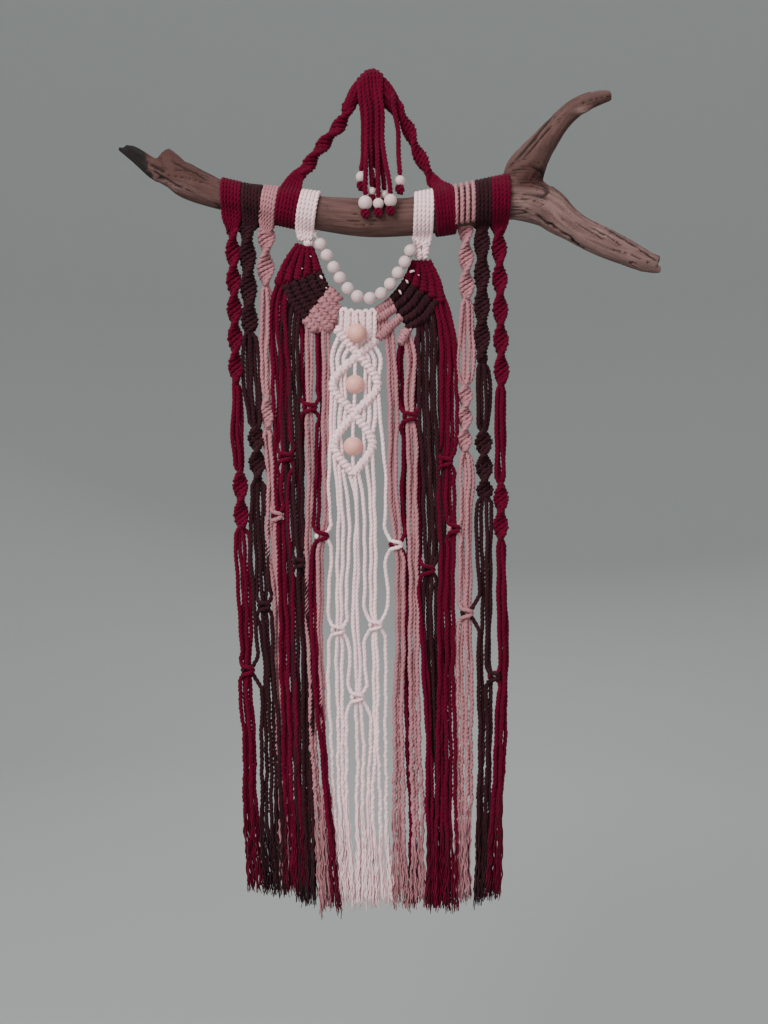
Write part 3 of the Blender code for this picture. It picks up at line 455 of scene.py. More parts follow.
# White strands one by one: where each starts (x, z), then its x at the heights below
WHITE_HEIGHTS = [-432, -506, -546, -609, -688, -756, -866]
WHITE_STRANDS = [
    ((-42, -321), [-45, -43, -45.2, -45.7, -43.6, -39.9, -36.5]),
    ((-39.9, -394), [-36.2, -35.7, -36.8, -36.8, -35.7, -34.1, -31]),
    ((-34.7, -404), [-32.8, -30.4, -32.6, -31, -31.5, -29.9, -25.5]),
    ((-30.5, -409), [-26.8, -24.6, -26.6, -23.6, -27.3, -26.3, -20]),
    ((-23, -416), [-18.5, -17.9, -19.6, -17.4, -15.8, -15.2, -13.5]),
    ((-18, -416), [-16.6, -15.2, -15.4, -13.6, -9.5, -9.5, -7]),
    ((-14.7, -412), [-10.3, -8.1, -8.1, -7.4, -1.1, -4, -0.5]),
    ((-6.3, -401), [-2, -1.5, -0.6, 1.6, 3.2, 1.1, 6]),
    ((0, -386), [2.6, 3.2, 3.6, 5.3, 6.3, 7.9, 13]),
    ((6.8, -330), [14.6, 13.4, 16.8, 14.2, 14.7, 14.7, 21]),
]


def waver(line):
    """The slight waves that a cord keeps when it hangs loose."""
    z = line[:, 2]
    loose = ramp(np.minimum(z[0] - z, z - z[-1] + 40), 60)
    for axis, amount in ((0, 0.6), (1, 0.5)):
        shift = amount * np.sin(z / rng.uniform(15, 22) + rng.uniform(0, 7))
        shift = shift + 0.6 * amount * np.sin(z / rng.uniform(5, 8) + rng.uniform(0, 7))
        line[:, axis] += shift * loose
    return line


def crimp(line, amount):
    """The tighter curl of a cord that begins to unravel: it grows towards the free end."""
    z = line[:, 2]
    for axis in (0, 1):
        curl = np.sin(z / rng.uniform(1.3, 1.8) + rng.uniform(0, 7))
        curl = curl + np.sin(z / rng.uniform(2.4, 3.4) + rng.uniform(0, 7))
        line[:, axis] += amount * ramp(-560 - z, 160) * curl
    return line


def hang(count, deep_top, deep_middle, deep_end, rows):
    """Lines of the strands of one bunch, side by side, in front and behind by turns."""
    start = -rows[0][0]
    strands = []
    for i in range(count):
        offset = i - (count - 1) / 2
        layer = LAYER if i % 2 else -LAYER
        path = []
        for z, x, pitch in rows:
            deep = np.interp(-z, [start, start + 70, 480, 580],
                             [deep_top, deep_middle, deep_middle, deep_end])
            path.append((x + offset * pitch + rng.normal(0, 0.3), deep + layer * 3.4 / (pitch + 0.6), z))
        path[-1] = (*path[-1][:2], path[-1][2] + rng.uniform(-4, 4))
        strands.append(waver(smooth_line(path, STEP)))
    return strands


loose = {}
for name, bunches in STRANDS.items():
    curl = 0.42 if "pink" in name else 0.2
    loose[name] = [crimp(line, curl) for bunch in bunches for line in hang(*bunch)]
loose["white_panel"] = []
for (x, z), levels in WHITE_STRANDS:
    rows = [(x, -1.0, z)]
    rows += [(there, rng.uniform(-2, 2), height) for there, height in zip(levels, WHITE_HEIGHTS)]
    loose["white_panel"].append(crimp(waver(smooth_line(rows, STEP)), 0.28))


# ------------------------------
# Side columns. Six bunches of cotton cord, three on each side, looped over the branch and tied in a
# spiral of half knots, then in short lumps lower down. Square knots tie neighbouring bunches
# together, and the strands' ends are frayed into fine yarns.

CORD = 2.3              # radius of a cord
LAY = 14.0              # length in which the plies turn once
NO_LAY = 1000.0         # a yarn doesn't turn
YARNS = 13              # in which a strand's end is frayed
KNOT_DEPTH = -0.5       # of a square knot
KNOT_HEIGHT = 10.5      # half of what the strands that cross in it take up
LOOP_SINK = 0.3         # how far a loop sinks into the wood
ALL_ROUND = [(degrees, 0) for degrees in range(0, 361, 20)]
# Loops round the branch (x of the first and the last, how many, lean at the top); sinnets (x and z
# at the top, x and z at the bottom, half width, half thickness, length of a bulge, first bulge)
COLUMNS = {
    "left_bordeaux": ((-155.2, -138, 6, 0), [
        (-146.4, -152, -142.4, -318, 6.4, 1.7, 30, 0), (-138.6, -412, -136.9, -470, 6.4, 1.7, 30.5, 15)]),
    "left_brown": ((-133.4, -116.4, 6, 0), [
        (-131.4, -152, -128.1, -264, 7.2, 3.6, 34, 0), (-121.6, -366, -119.6, -420, 7.6, 1.6, 26, 11)]),
    "left_pink": ((-116.4, -104, 5, 6), [
        (-110.6, -156, -111.6, -216, 7.8, 2.2, 33.5, 9), (-110.2, -334, -109.2, -367, 5.6, 2.2, 31, 16)]),
    "right_pink": ((87.4, 105.2, 4, 0), [
        (98.4, -150, 99.7, -230, 6.8, 2, 30, 5.4), (98.4, -321, 97.2, -390, 6.4, 1.6, 23.3, 10)]),
    "right_brown": ((109.8, 122.2, 4, 0), [
        (115.5, -156, 115.5, -296, 6.8, 3.2, 33, 14), (117, -370, 118.6, -437, 7.6, 1.6, 26, 10)]),
    "right_bordeaux": ((125.8, 141, 5, 0), [
        (133.4, -156, 136.3, -320, 6.4, 1.7, 32, 20), (135.6, -424, 135, -482, 6.2, 1.7, 29, 14)]),
}
# Square knots: x, z, half width, and the piece whose strands cross in it, or the left and right one
SQUARE_KNOTS = [
    (-65.1, -344.4, 6, "left_bordeaux_panel"), (39.9, -353.9, 6, "right_bordeaux_panel"),
    (-90.7, -396, 5.6, "left_bordeaux_panel"), (77.7, -401, 5.4, "right_bordeaux_panel"),
    (-99.4, -457.8, 4.2, "left_pink_column", "left_bordeaux_panel"),
    (86.1, -471, 4.6, "right_bordeaux_panel", "right_pink_column"),
    (-52.2, -478.8, 5.4, "left_bordeaux_panel", "white_panel"),
    (25.2, -488, 5.4, "white_panel", "right_bordeaux_panel"), (-76.2, -507, 4.6, "left_brown_panel"),
    (59.1, -514, 5.4, "right_bordeaux_panel", "right_brown_panel"), (-113, -552, 5, "left_brown_column"),
    (99.6, -559.5, 5, "right_pink_column", "right_brown_column"), (-35.4, -577.3, 5.6, "white_panel"),
    (4, -572.3, 5.6, "white_panel"), (-15.2, -647.6, 5.6, "white_panel"),
    (-129.9, -619.3, 5, "left_bordeaux_column", "left_brown_column"),
    (127.4, -625.8, 4.4, "right_brown_column", "right_bordeaux_column")]
# Upper half of the crossing strands' paths: across in half widths, depth in cords, height in mm
FRONT_PATH = [(-1.45, -0.2, 8.4), (-1.1, -1.5, 4.8), (0, -2.2, 3.2), (0.85, -1.7, 1.8), (1.05, -0.4, 0)]
BACK_PATH = [(1.45, 0, 8.4), (1.1, -0.6, 4.8), (0.2, 1.6, 3), (-0.9, -0.4, 1.8), (-1.05, -2.1, 0)]


def outline(name, radii):
    """A closed flat outline, swept along the cords."""
    data = bpy.data.curves.new(name, "CURVE")
    data.dimensions = "2D"
    ring = data.splines.new("POLY")
    ring.points.add(len(radii) - 1)
    ring.use_cyclic_u = True
    for k, radius in enumerate(radii):
        angle = -2 * math.pi * k / len(radii)
        ring.points[k].co = (radius * math.cos(angle), radius * math.sin(angle), 0, 1)
    return place_in_room(name, data)


three_plies = outline("three_plies", [0.62, 1.04, 1.04] * 3)
single_yarn = outline("single_yarn", [1.0, 1.0, 1.0])


def cotton(name, light, dark):
    """Matt twisted cotton: fine fibres, a little unevenness in the dye, soft sheen."""
    made, tree, face = surface(name, {"Roughness": 0.92, "Specular IOR Level": 0.06, "Sheen Weight": 0.04,
                                     "Sheen Roughness": 0.5})
    place = node(tree, "TexCoord", {})["Object"]
    fibres = patches(tree, place, (1, 1, 0.35), 1500.0, 2.0, 0.3, 0.7)
    uneven = patches(tree, place, (190, 190, 9), 1.0, 3.0, 0.3, 0.7)
    middle = tuple((a + b) / 2 for a, b in zip(light, dark))
    colour = mix_colours(tree, uneven, mix_colours(tree, fibres, dark, middle),
                         mix_colours(tree, fibres, middle, light))
    dress(tree, face, colour, fibres, 0.5, 0.0003)
    return made


COTTON = {
    "bordeaux": cotton("bordeaux_cotton", (0.122, 0.001, 0.020), (0.060, 0.0005, 0.009)),
    "brown": cotton("brown_cotton", (0.038, 0.011, 0.015), (0.015, 0.004, 0.006)),
    "pink": cotton("pink_cotton", (0.410, 0.190, 0.212), (0.270, 0.115, 0.132)),
    "white": cotton("white_cotton", (0.950, 0.690, 0.715), (0.750, 0.530, 0.555)),
}


def twist(name, runs, profile):
    """Cords swept with an outline."""
    return sweep(name, name, runs, bevel_mode="OBJECT", bevel_object=profile)


def cord(path, radius=CORD, step=STEP, lay=LAY):
    """A cord along a path."""
    return smooth_line(path, step), radius, lay


def cord_piece(name, cords, yarns, colour, *stands_for):
    """One finished piece of macrame from its cords and its frayed yarns."""
    piece = twist(name, cords, three_plies)
    if yarns:
        fringe = twist(name + "_yarns", yarns, single_yarn)
        only(piece)
        fringe.select_set(True)
        bpy.ops.object.join()
    bpy.ops.object.mode_set(mode="EDIT")
    bpy.ops.mesh.select_all(action="SELECT")
    bpy.ops.mesh.remove_doubles(threshold=1e-6)
    bpy.ops.mesh.normals_make_consistent(inside=False)
    bpy.ops.object.mode_set(mode="OBJECT")
    piece.data.materials.clear()
    piece.data.materials.append(COTTON[colour])
    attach(piece, "root")
    if stands_for:
        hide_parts(*stands_for)


def x_at(line, z):
    """Where a strand is at a height."""
    return np.interp(-z, -line[:, 2], line[:, 0])


def gather(strands, x, z, deep, half_height, reach, tight):
    """Draw strands together where a knot holds them."""
    for line in strands:
        away = ramp(np.abs(line[:, 2] - z) - half_height, reach)
        pull = tight * (1 - away * away * (3 - 2 * away))
        line[:, 0] += (x - line[:, 0]) * pull
        line[:, 1] += (deep - line[:, 1]) * pull


def tie(x, z, half, left, right):
    """A square knot: two strands cross twice round the ones between them."""
    i = min(range(len(left)), key=lambda k: abs(x_at(left[k], z) - x + 1.55 * half))
    j = min((k for k in range(len(right)) if right is not left or k != i),
            key=lambda k: abs(x_at(right[k], z) - x - 1.55 * half))
    crossing = (left[i], right[j])
    for group in loose.values():
        held = [line for line in group
                if not any(line is c for c in crossing) and abs(x_at(line, z) - x) < half + 2]
        gather(held, x, z, KNOT_DEPTH, half_height=3.0, reach=15.0, tight=0.35)
    for group, k, sign, path in ((left, i, -1, FRONT_PATH), (right, j, 1, BACK_PATH)):
        line = group[k]
        gather([line], x + sign * 1.7 * half, z, KNOT_DEPTH, half_height=8.0, reach=13.0, tight=1.0)
        whole = path + [(a, b, -c) for a, b, c in path[-2::-1]]
        knot = [(x + a * half, KNOT_DEPTH + b * CORD, z + c) for a, b, c in whole]
        above = line[line[:, 2] > z + KNOT_HEIGHT]
        below = line[line[:, 2] < z - KNOT_HEIGHT]
        group[k] = np.vstack([above[:-3], smooth_line(np.vstack([above[-3:], knot, below[:3]]), STEP),
                              below[3:]])


def fray(line, radius):
    """Split a strand's end in fine crimped yarns; returns the shortened strand and its yarns."""
    length = rng.uniform(70, 125)
    cut = len(line) - int(length / STEP)
    fading = int(0.4 * length / STEP)
    kept = line[:cut + fading]
    radii = np.full(len(kept), radius)
    radii[-fading:] = np.linspace(radius, 0.8, fading)
    yarns = []
    t = np.linspace(0, 1, 18)
    along = (cut + t * (len(line) - 1 - cut)).astype(int)
    for _ in range(YARNS):
        angle = rng.uniform(0, 2 * math.pi)
        spot = radius * 0.85 * math.sqrt(rng.uniform(0.05, 1))
        spread = rng.uniform(1.2, 2.2)
        drop = line[-1, 2] + rng.uniform(-3, 8) - (0 if rng.uniform() < 0.85 else rng.uniform(2, 7))
        z = line[cut, 2] + (drop - line[cut, 2]) * t
        reach = spot * (1 + (spread - 1) * t ** 1.3) + 0.7 * t
        curl = rng.uniform(0.4, 1.1) * np.clip(t * 3, 0, 1)
        turn = z / rng.uniform(2.4, 3.6) + angle * 3
        x = line[along, 0] + reach * np.cos(angle) + curl * np.cos(turn)
        y = line[along, 1] + reach * np.sin(angle) + curl * np.sin(turn)
        thick = (0.62 + 0.32 * t) * (1 - 0.6 * np.clip((t - 0.85) * 6.6, 0, 1))
        yarns.append((np.stack([x, y, z], axis=1), thick, NO_LAY))
    return (kept, radii, LAY), yarns


def strand_cords(name, radius=CORD):
    """The strands of a piece as cords, and their frayed yarns."""
    cords, yarns = [], []
    for line in loose[name]:
        kept, ends = fray(line, radius)
        cords.append(kept)
        yarns += ends
    return cords, yarns


def height_and_radius(line, x):
    """Middle height and radius of a limb or of the bend at x."""
    return [np.interp(x, [row[0] for row in line], [row[k] for row in line]) for k in (2, 3)]


def round_branch(x, lean, turns):
    """Path of a cord round the branch: degrees from straight below, and how far it stands off."""
    path = []
    for degrees, off in turns:
        angle = math.radians(degrees)
        here = x + lean * (0.5 - 0.5 * math.cos(angle))
        middle, radius = height_and_radius(LIMB, here)
        out = off + (radius - LOOP_SINK + CORD)
        path.append((here, -out * math.sin(angle), middle - out * math.cos(angle)))
    return path


def loop_round_branch(x, x_low, z_low, lean):
    """A cord that goes up in front of the branch, over it and down behind it."""
    wide = x_low + 0.8 * (x - x_low)
    path = [(x_low, -1.6, z_low), (wide, -5.5, z_low + 9.0), *round_branch(x, lean, ALL_ROUND[2:-2]),
            (wide, 5.5, z_low + 9.0), (x_low, 1.6, z_low)]
    return cord(path)


def spread(first, last, count):
    """Evenly spaced places from the first to the last."""
    return [first + (last - first) * k / (count - 1) for k in range(count)]


def half_knots(line, pitch, wide, flat, swing, radius, first=0.0, starts=4):
    """Working cords of a sinnet of half knots: coils round the middle, wide and flat by turns."""
    points = smooth_line(line, 0.25)
    run = lengths(points)
    ahead = unit(np.gradient(points, axis=0))
    side = unit(np.cross(ahead, (0, 1, 0)))
    front = np.cross(side, ahead)
    facing = -math.pi * (run - first) / swing
    ease = 0.35 + 0.65 * np.minimum(1, np.minimum(run, run[-1] - run) / 3.0)
    coils = []
    for k in range(starts):
        turn = -2 * math.pi * (run / (pitch * starts) + k / starts) - facing
        across = wide * np.cos(turn) * np.cos(facing) - flat * np.sin(turn) * np.sin(facing)
        deep = wide * np.cos(turn) * np.sin(facing) + flat * np.sin(turn) * np.cos(facing)
        coil = points + side * (across * ease)[:, None] + front * (deep * ease)[:, None]
        coils.append(cord(coil[::2], radius, 1.8))
    coils.append((points[::8], max(1.2, flat * 0.95), LAY))
    return coils


def sinnet_line(x_top, z_top, x_low, z_low, deep=0, deep_middle=0):
    """Middle line of a sinnet from its top to its bottom."""
    middle = ((x_top + x_low) / 2, deep_middle, (z_top + z_low) / 2)
    return [(x_top, deep, z_top), middle, (x_low, deep, z_low)]


for name, (_, sinnets) in COLUMNS.items():
    for x_top, z_top, x_low, z_low in (sinnet[:4] for sinnet in sinnets):
        gather(loose[name + "_column"], (x_top + x_low) / 2, (z_top + z_low) / 2, 0,
               half_height=(z_top - z_low) / 2 - 2, reach=10.0, tight=0.75)
for x, z, half, *pieces in SQUARE_KNOTS:
    tie(x, z, half, loose[pieces[0]], loose[pieces[-1]])
for name, ((first, last, count, lean), sinnets) in COLUMNS.items():
    pitch, radius = (4.2, 2.1) if "pink" in name else (5.0, 2.6)
    cords, yarns = strand_cords(name + "_column")
    for *ends, wide, flat, swing, bulge in sinnets:
        cords += half_knots(sinnet_line(*ends), pitch, wide, flat, swing, radius, bulge)
    x_top, z_top = sinnets[0][:2]
    for x in spread(first, last, count):
        cords.append(loop_round_branch(x, x_top + (x - x_top) * 0.35, z_top - 6, lean))
    cord_piece(name + "_column", cords, yarns, name.split("_")[1], "sinnet_" + name)


# ------------------------------
# Tabs. Two groups of white cotton loops round the branch carry the middle panel; each is drawn
# together under the branch in a few tight knots.

# Loops (x of the first and the last, how many, lean at the top), where they meet (x, z), and short
# sinnets under them (x and z at the top, x and z at the bottom, half width)
TABS = {
    "left": ((-78.4, -62.6, 5, 7.2), (-68.4, -166), [
        (-74.8, -151.5, -73.6, -168.5, 5.4), (-66.4, -152.5, -60, -164.5, 5),
        (-71.2, -171.4, -62.8, -172.6, 4.4)]),
    "right": ((44.8, 61.4, 5, 1.6), (53.6, -172), [
        (45, -163, 49.6, -176.5, 5.2), (58, -162.5, 56.2, -179, 4.6), (48.6, -178.6, 49.6, -188.6, 5.2),
        (55.8, -178, 55.6, -188, 5)]),
}
for side_name, ((first, last, count, lean), (x_low, z_low), sinnets) in TABS.items():
    cords = [loop_round_branch(x, x_low + (x - x_low) * 0.7, z_low - 2, lean)
             for x in spread(first, last, count)]
    for *ends, wide in sinnets:
        cords += half_knots(sinnet_line(*ends, deep=-1.5, deep_middle=-1.8), pitch=3.6, wide=wide - 1.8,
                            flat=wide - 3.2, swing=14, radius=2, starts=2)
    cord_piece(side_name + "_tab", cords, [], "white", "tab_%s_white" % side_name)


# ------------------------------
# Middle panel, coloured part. A collar of five rows of double half hitches runs from tab to tab in
# bordeaux, brown and pink cotton; the cords that tied it hang on below as loose strands.

# Inner and outer end of the rows at each station (x, z)
COLLAR = {
    "left_bordeaux": [(-62, -175.6, -79.8, -172.2), (-56.4, -187, -93.4, -191),
        (-51.6, -200.4, -104.6, -217.4)],
    "left_brown": [(-52, -199.4, -96, -217), (-48.4, -208.6, -85, -237.6),
        (-44.8, -217.4, -70.2, -254.4)],
    "right_brown": [(16.5, -228.4, 40.5, -263.4), (24.2, -219.8, 57.2, -254), (32.4, -208.6, 70, -236.3)],
    "right_bordeaux": [(31.8, -209.4, 77.4, -236.4), (37, -198.8, 72.4, -211.4),
        (42, -190, 61.8, -189.8)],
}
THINNEST, THICKEST = 2.9, 5.2   # outer radius of a row


def round_line(side, angle):
    """Directions at an angle round a line that lies flat, from its side."""
    return side * np.cos(angle)[:, None] + np.array((0, 1, 0)) * np.sin(angle)[:, None]


def hitch_row(line, outer, radius, pitch, groove=0.8):
    """A row of double half hitches: a cord wound closely round the carrier cord inside it."""
    points = smooth_line([(*place, r) for place, r in zip(line, outer)], 0.25)
    centre, outer = points[:, :3], points[:, 3]
    run = lengths(centre)
    side = unit(np.cross(unit(np.gradient(centre, axis=0)), (0, 1, 0)))
    angle = 2 * math.pi * run / pitch + 0.5 * np.sin(math.pi * run / pitch)
    coil = centre + np.maximum(outer - radius, 0.6)[:, None] * round_line(side, angle)
    return [cord(coil, radius, 1.4), (centre[::10], np.maximum(outer[::10] - groove, 0.8), LAY)]


def collar_rows(stations, chunky):
    """Five rows side by side, which fan out from the tab, and the cords that run behind them."""
    made = []
    for number in range(9):
        share = (number + 1) / 10
        line, outer = [], []
        for x_in, z_in, x_out, z_out in stations:
            deep = 4.4 * (number % 2)
            line.append((x_in + (x_out - x_in) * share, deep, z_in + (z_out - z_in) * share))
            width = math.hypot(x_out - x_in, z_out - z_in)
            outer.append(min(THICKEST, max(THINNEST, width / 10 + 0.1)))
        if number % 2 == 0:
            made += hitch_row(line, outer, radius=2.8 if chunky else 2.4, pitch=5.0 if chunky else 3.6)
        else:
            made.append(cord(line, 3.2))
    return made


for name, stations in COLLAR.items():
    colour = name.split("_")[1]
    cords, yarns = strand_cords(name + "_panel")
    cord_piece(name + "_panel", cords + collar_rows(stations, colour == "brown"), yarns, colour,
               "panel_" + name)
# Short bits of white carrier cord that show between the rows (x, z, half length, radius, slope)
CARRIER_BITS = [
    (-64, -186.4, 0.7, 0.5, -0.5), (-73, -199, 0.6, 0.5, -0.9), (-53, -208, 1.5, 1.1, -1.6),
    (-47.6, -219.4, 0.7, 0.6, -0.7), (42, -202, 1.9, 1.2, 0.2), (49, -206, 0.6, 0.5, -0.5),
    (36.6, -212.6, 1.7, 1, -1.4), (29.4, -223.6, 2.1, 1, -1.8)]
bits = []
for x, z, half, radius, slope in CARRIER_BITS:
    length = math.hypot(1, slope)
    reach, drop = half / length, half * slope / length
    line = [(x - reach, -4.4, z - drop), (x, -6.2, z), (x + reach, -4.4, z + drop)]
    bits.append(cord(line, radius, 0.6))
cord_piece("carrier_bits", bits, [], "white")


# ------------------------------
# Pink ends of the collar. Short rows of half hitches in pink cotton, coarse on the left and fine on
# the right; pink strands hang from both.

PINK_ROWS = {
    "left": [[(-46, 0, -219.6), (-40.6, 0, -225.6), (-34.4, 0, -231.6)],
        [(-54.4, -1, -230), (-46.4, -1, -239.2), (-37, -1, -249)],
        [(-62.6, -1, -240.4), (-53.6, -1, -251.2), (-42.6, -1, -262.6)],
        [(-70, 0, -250.4), (-63.4, 0, -258.4), (-57, 0, -263.8)],
        [(-50.4, 2, -224.6), (-43.2, 2, -232.8), (-35.6, 2, -241)],
        [(-58.6, 2, -235), (-50.4, 2, -245.4), (-38.4, 2, -256.4)],
        [(-66, 2, -245.4), (-59.6, 2, -254), (-52, 2, -261.6)]],
    "right": [[(4.6, 0, -243.2), (11.8, 0, -238.6), (20.4, 0, -231.6)],
        [(5, -1, -251.4), (13.4, -1, -246.6), (24.4, -1, -239.4)],
        [(6.8, -2, -271.4), (18, -2, -260.4), (30.6, -2, -248.6)],
        [(29, -2, -277.4), (33.4, -2, -269.4), (38.2, -2, -261.6)]],
}
# Outer radius along a row, radius of the cord, pitch of its turns
ROW_CORDS = {"left": ([5.4, 6.0, 5.4], 2.7, 5.4), "right": ([4.8, 5.3, 4.9], 1.8, 3.2)}
# Cords that link the rows on the right, behind them (x and z of the top)
PINK_LINKS = [(6.6, -250), (10.6, -249), (14.6, -248)]
for side_name, rows in PINK_ROWS.items():
    cords, yarns = strand_cords(side_name + "_pink_panel")
    for line in rows:
        cords += hitch_row(line, *ROW_CORDS[side_name])
    for x, z in PINK_LINKS if side_name == "right" else ():
        cords.append(cord([(x, 1.5, z), (x + 0.8, 1.5, z - 8), (x + 1.6, 2.0, z - 16)]))
    cord_piece(side_name + "_pink_panel", cords, yarns, "pink", "panel_%s_pink" % side_name)


# ------------------------------
# White middle of the panel. Upright lark's heads of cotton cord sit on the collar's lower edge; two
# zigzag rows of half hitches cross to make three diamonds, with loose cords at their sides.

# Lark's heads: x and z at the top, x and z at the bottom
LARKS_HEADS = [
    (-29.4, -240.6, -30.8, -267), (-21.8, -242.4, -23, -276), (-14, -243, -14.6, -284),
    (-6.4, -242.6, -7, -277), (0.6, -241.6, 0, -271)]
HOLDING_CORD = [(-34, 2.4, -240.4), (-24, 0, -243.4), (-14, 0, -245), (-4, 0, -244.4), (2.8, 1.4, -242)]
ZIGZAG_LEFT = [
    (-37.8, -261), (-28, -272.4), (-14.2, -288.6), (6, -320.6), (-18.4, -350.8), (-39.8, -384),
    (-19.4, -414.6)]
ZIGZAG_RIGHT = [
    (4.4, -272.4), (-14.2, -288.6), (-41.4, -320.6), (-18.4, -350.8), (0.6, -381.4), (-19.4, -414.6)]
SIDE_CORDS = [
    [(-33, -265), (-41.5, -287), (-40.5, -316)], [(-28, -273), (-36, -291), (-35, -309)],
    [(-23, -280), (-29.5, -291), (-29, -303)], [(-2, -273), (8.5, -290), (5.5, -319)],
    [(-6, -278), (2.5, -293), (0.5, -311)], [(-10, -283), (-3.6, -293), (-4.4, -304)],
    [(-37, -325), (-40, -353), (-40, -385)], [(-31, -333), (-34, -353), (-34, -375)],
    [(-25.5, -342), (-28.5, -353), (-28.6, -365)], [(2.5, -326), (3.5, -353), (-2, -381)],
    [(-4, -334), (-2.6, -353), (-6.4, -373)], [(-10, -342), (-8.4, -353), (-11.4, -364)]]
INNER_CORDS = [
    [(-33.6, -310), (-32.4, -323), (-31.4, -336)], [(-28.4, -304), (-28.2, -323), (-27.4, -341)],
    [(-6.6, -301), (-7.4, -323), (-6.6, -337)], [(-1.6, -309), (-2.8, -323), (-2, -333)],
    [(-33.4, -375), (-31.4, -389), (-31.6, -401)], [(-8.6, -366), (-8.4, -388), (-9, -402)]]
BEAD_CORDS = [
    [(-15.8, -3, -250), (-15.8, -8.5, -256), (-15.8, -11.4, -266), (-15.8, -8, -277), (-15.8, -2, -284)],
    [(-17.4, -1, -290), (-17.9, -2, -305), (-17.9, -2, -319), (-18.2, -2, -334), (-18.9, -1, -344)],
    [(-19.2, -1, -351), (-20, -2, -372), (-20, -2, -385), (-20, -2, -398), (-19.6, -1, -410)]]
WHITE_CORD, THIN_CORD = 2.05, 1.9   # radius of the strands, and of the cords inside the diamonds
cords, yarns = strand_cords("white_panel", WHITE_CORD)
for x, z, x_low, z_low in LARKS_HEADS:
    path = [(x_low - 2.3, 0.5, z_low), (x - 2.4, -2.8, z - 9), (x - 2.1, -3.0, z - 1.6), (x, -2.8, z),
            (x + 2.1, -3.0, z - 1.6), (x + 2.4, -2.8, z - 9), (x_low + 2.3, 0.5, z_low)]
    cords.append(cord(path, step=1.6))
cords.append(cord(HOLDING_CORD, step=1.6))
for corners in (ZIGZAG_LEFT, ZIGZAG_RIGHT):
    line = [(x, -1, z) for x, z in corners]
    cords += hitch_row(line, [5] * len(corners), radius=2.4, pitch=4.9, groove=1.2)
for lines, deep, radius in ((SIDE_CORDS, 0.5, 2.35), (INNER_CORDS, 1.5, THIN_CORD)):
    cords += [cord([(x, deep, z) for x, z in line], radius) for line in lines]
cords += [cord(line, THIN_CORD) for line in BEAD_CORDS]
cord_piece("white_panel", cords, yarns, "white", "panel_centre_white")


# ------------------------------
# Wooden beads. Three larger plain beads sit in the diamonds; twelve small beads painted white hang
# on a cord from tab to tab. Each is a turned ball with a drilled hole.

WOOD_BEADS = [("wood_bead_upper", (-15.6, -11.4, -267.6)), ("wood_bead_middle", (-17.9, -2.0, -319.9)),
              ("wood_bead_lower", (-20.0, -2.0, -384.8))]
WOOD_BEAD, NECK_BEAD, STRING = 10.0, 6.5, 1.3   # radii
NECK_DEPTH = -8.4
NECKLACE = [
    (-53.6, -174.5), (-47.1, -186), (-40, -198.5), (-33.5, -209.5), (-25.3, -220.5), (-15.3, -228.9),
    (-2.1, -230.8), (9.6, -225.9), (19, -216.1), (27.1, -204.4), (34.3, -192.9), (40, -181.2)]


def bead_wood(name, light, dark, coat):
    """Fine-grained turned wood, bare or under a thin matt paint."""
    made, tree, face = surface(name, {"Roughness": 0.55, "Coat Weight": coat, "Coat Roughness": 0.4})
    place = node(tree, "TexCoord", {})["Object"]
    lines = patches(tree, place, (60, 900, 900), 1.0, 3.0, 0.35, 0.65)
    dress(tree, face, mix_colours(tree, lines, dark, light), lines, 0.25, 0.0002)
    return made


natural_wood = bead_wood("natural_bead_wood", (0.76, 0.375, 0.315), (0.66, 0.315, 0.265), 0.05)
white_paint = bead_wood("white_bead_paint", (0.62, 0.475, 0.47), (0.54, 0.41, 0.405), 0.0)


def fix_order(shape, parts):
    """Sort edges or faces by their corners: a sphere has them in a different order each time."""
    shape.verts.index_update()
    count = len(shape.verts)
    parts.sort(key=lambda part: sum(corner * count ** k for k, corner in enumerate(
        sorted(v.index for v in part.verts))))


def drilled_bead(name, centre, along, radius, material):
    """A turned ball with a hole through it, which stands for the CAD bead of that name."""
    bpy.ops.mesh.primitive_uv_sphere_add(segments=32, ring_count=12, radius=radius * MM)
    ball = bpy.context.object
    ball.name = name + "_turned"
    shape = bmesh.new()
    shape.from_mesh(ball.data)
    poles = [v for v in shape.verts if math.hypot(v.co.x, v.co.y) < 1e-6]
    bmesh.ops.delete(shape, geom=poles, context="VERTS")
    fix_order(shape, shape.edges)
    bmesh.ops.bridge_loops(shape, edges=[e for e in shape.edges if e.is_boundary])
    bmesh.ops.recalc_face_normals(shape, faces=shape.faces[:])
    fix_order(shape, shape.faces)
    shape.to_mesh(ball.data)
    shape.free()
    ball.rotation_euler = Vector(along).to_track_quat("Z", "Y").to_euler()
    ball.location = Vector(centre) * MM
    bpy.ops.object.transform_apply(location=True, rotation=True, scale=True)
    only(ball)
    bpy.ops.object.shade_smooth_by_angle(angle=math.radians(40))
    ball.data.materials.append(material)
    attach(ball, "root")
    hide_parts(name)


for name, place in WOOD_BEADS:
    drilled_bead(name, place, (0, 0, 1), WOOD_BEAD, natural_wood)
string = [(-59.6, -7, -164.0)] + [(x, NECK_DEPTH, z) for x, z in NECKLACE] + [(45.4, -7, -170.0)]
for number in range(1, 13):
    along = Vector(string[number + 1]) - Vector(string[number - 1])
    drilled_bead("neck_bead_%02d" % number, string[number], along, NECK_BEAD, white_paint)
cord_piece("necklace_string", [cord(string, STRING, step=2.0, lay=6.0)], [], "white", "bead_string")


# ------------------------------
# Hanger. Two bordeaux cotton sinnets rise from tight loops on the branch and meet in a bend over the
# nail; a tassel of eight cords is folded over the bend, each cord ending in a bead and a knot.

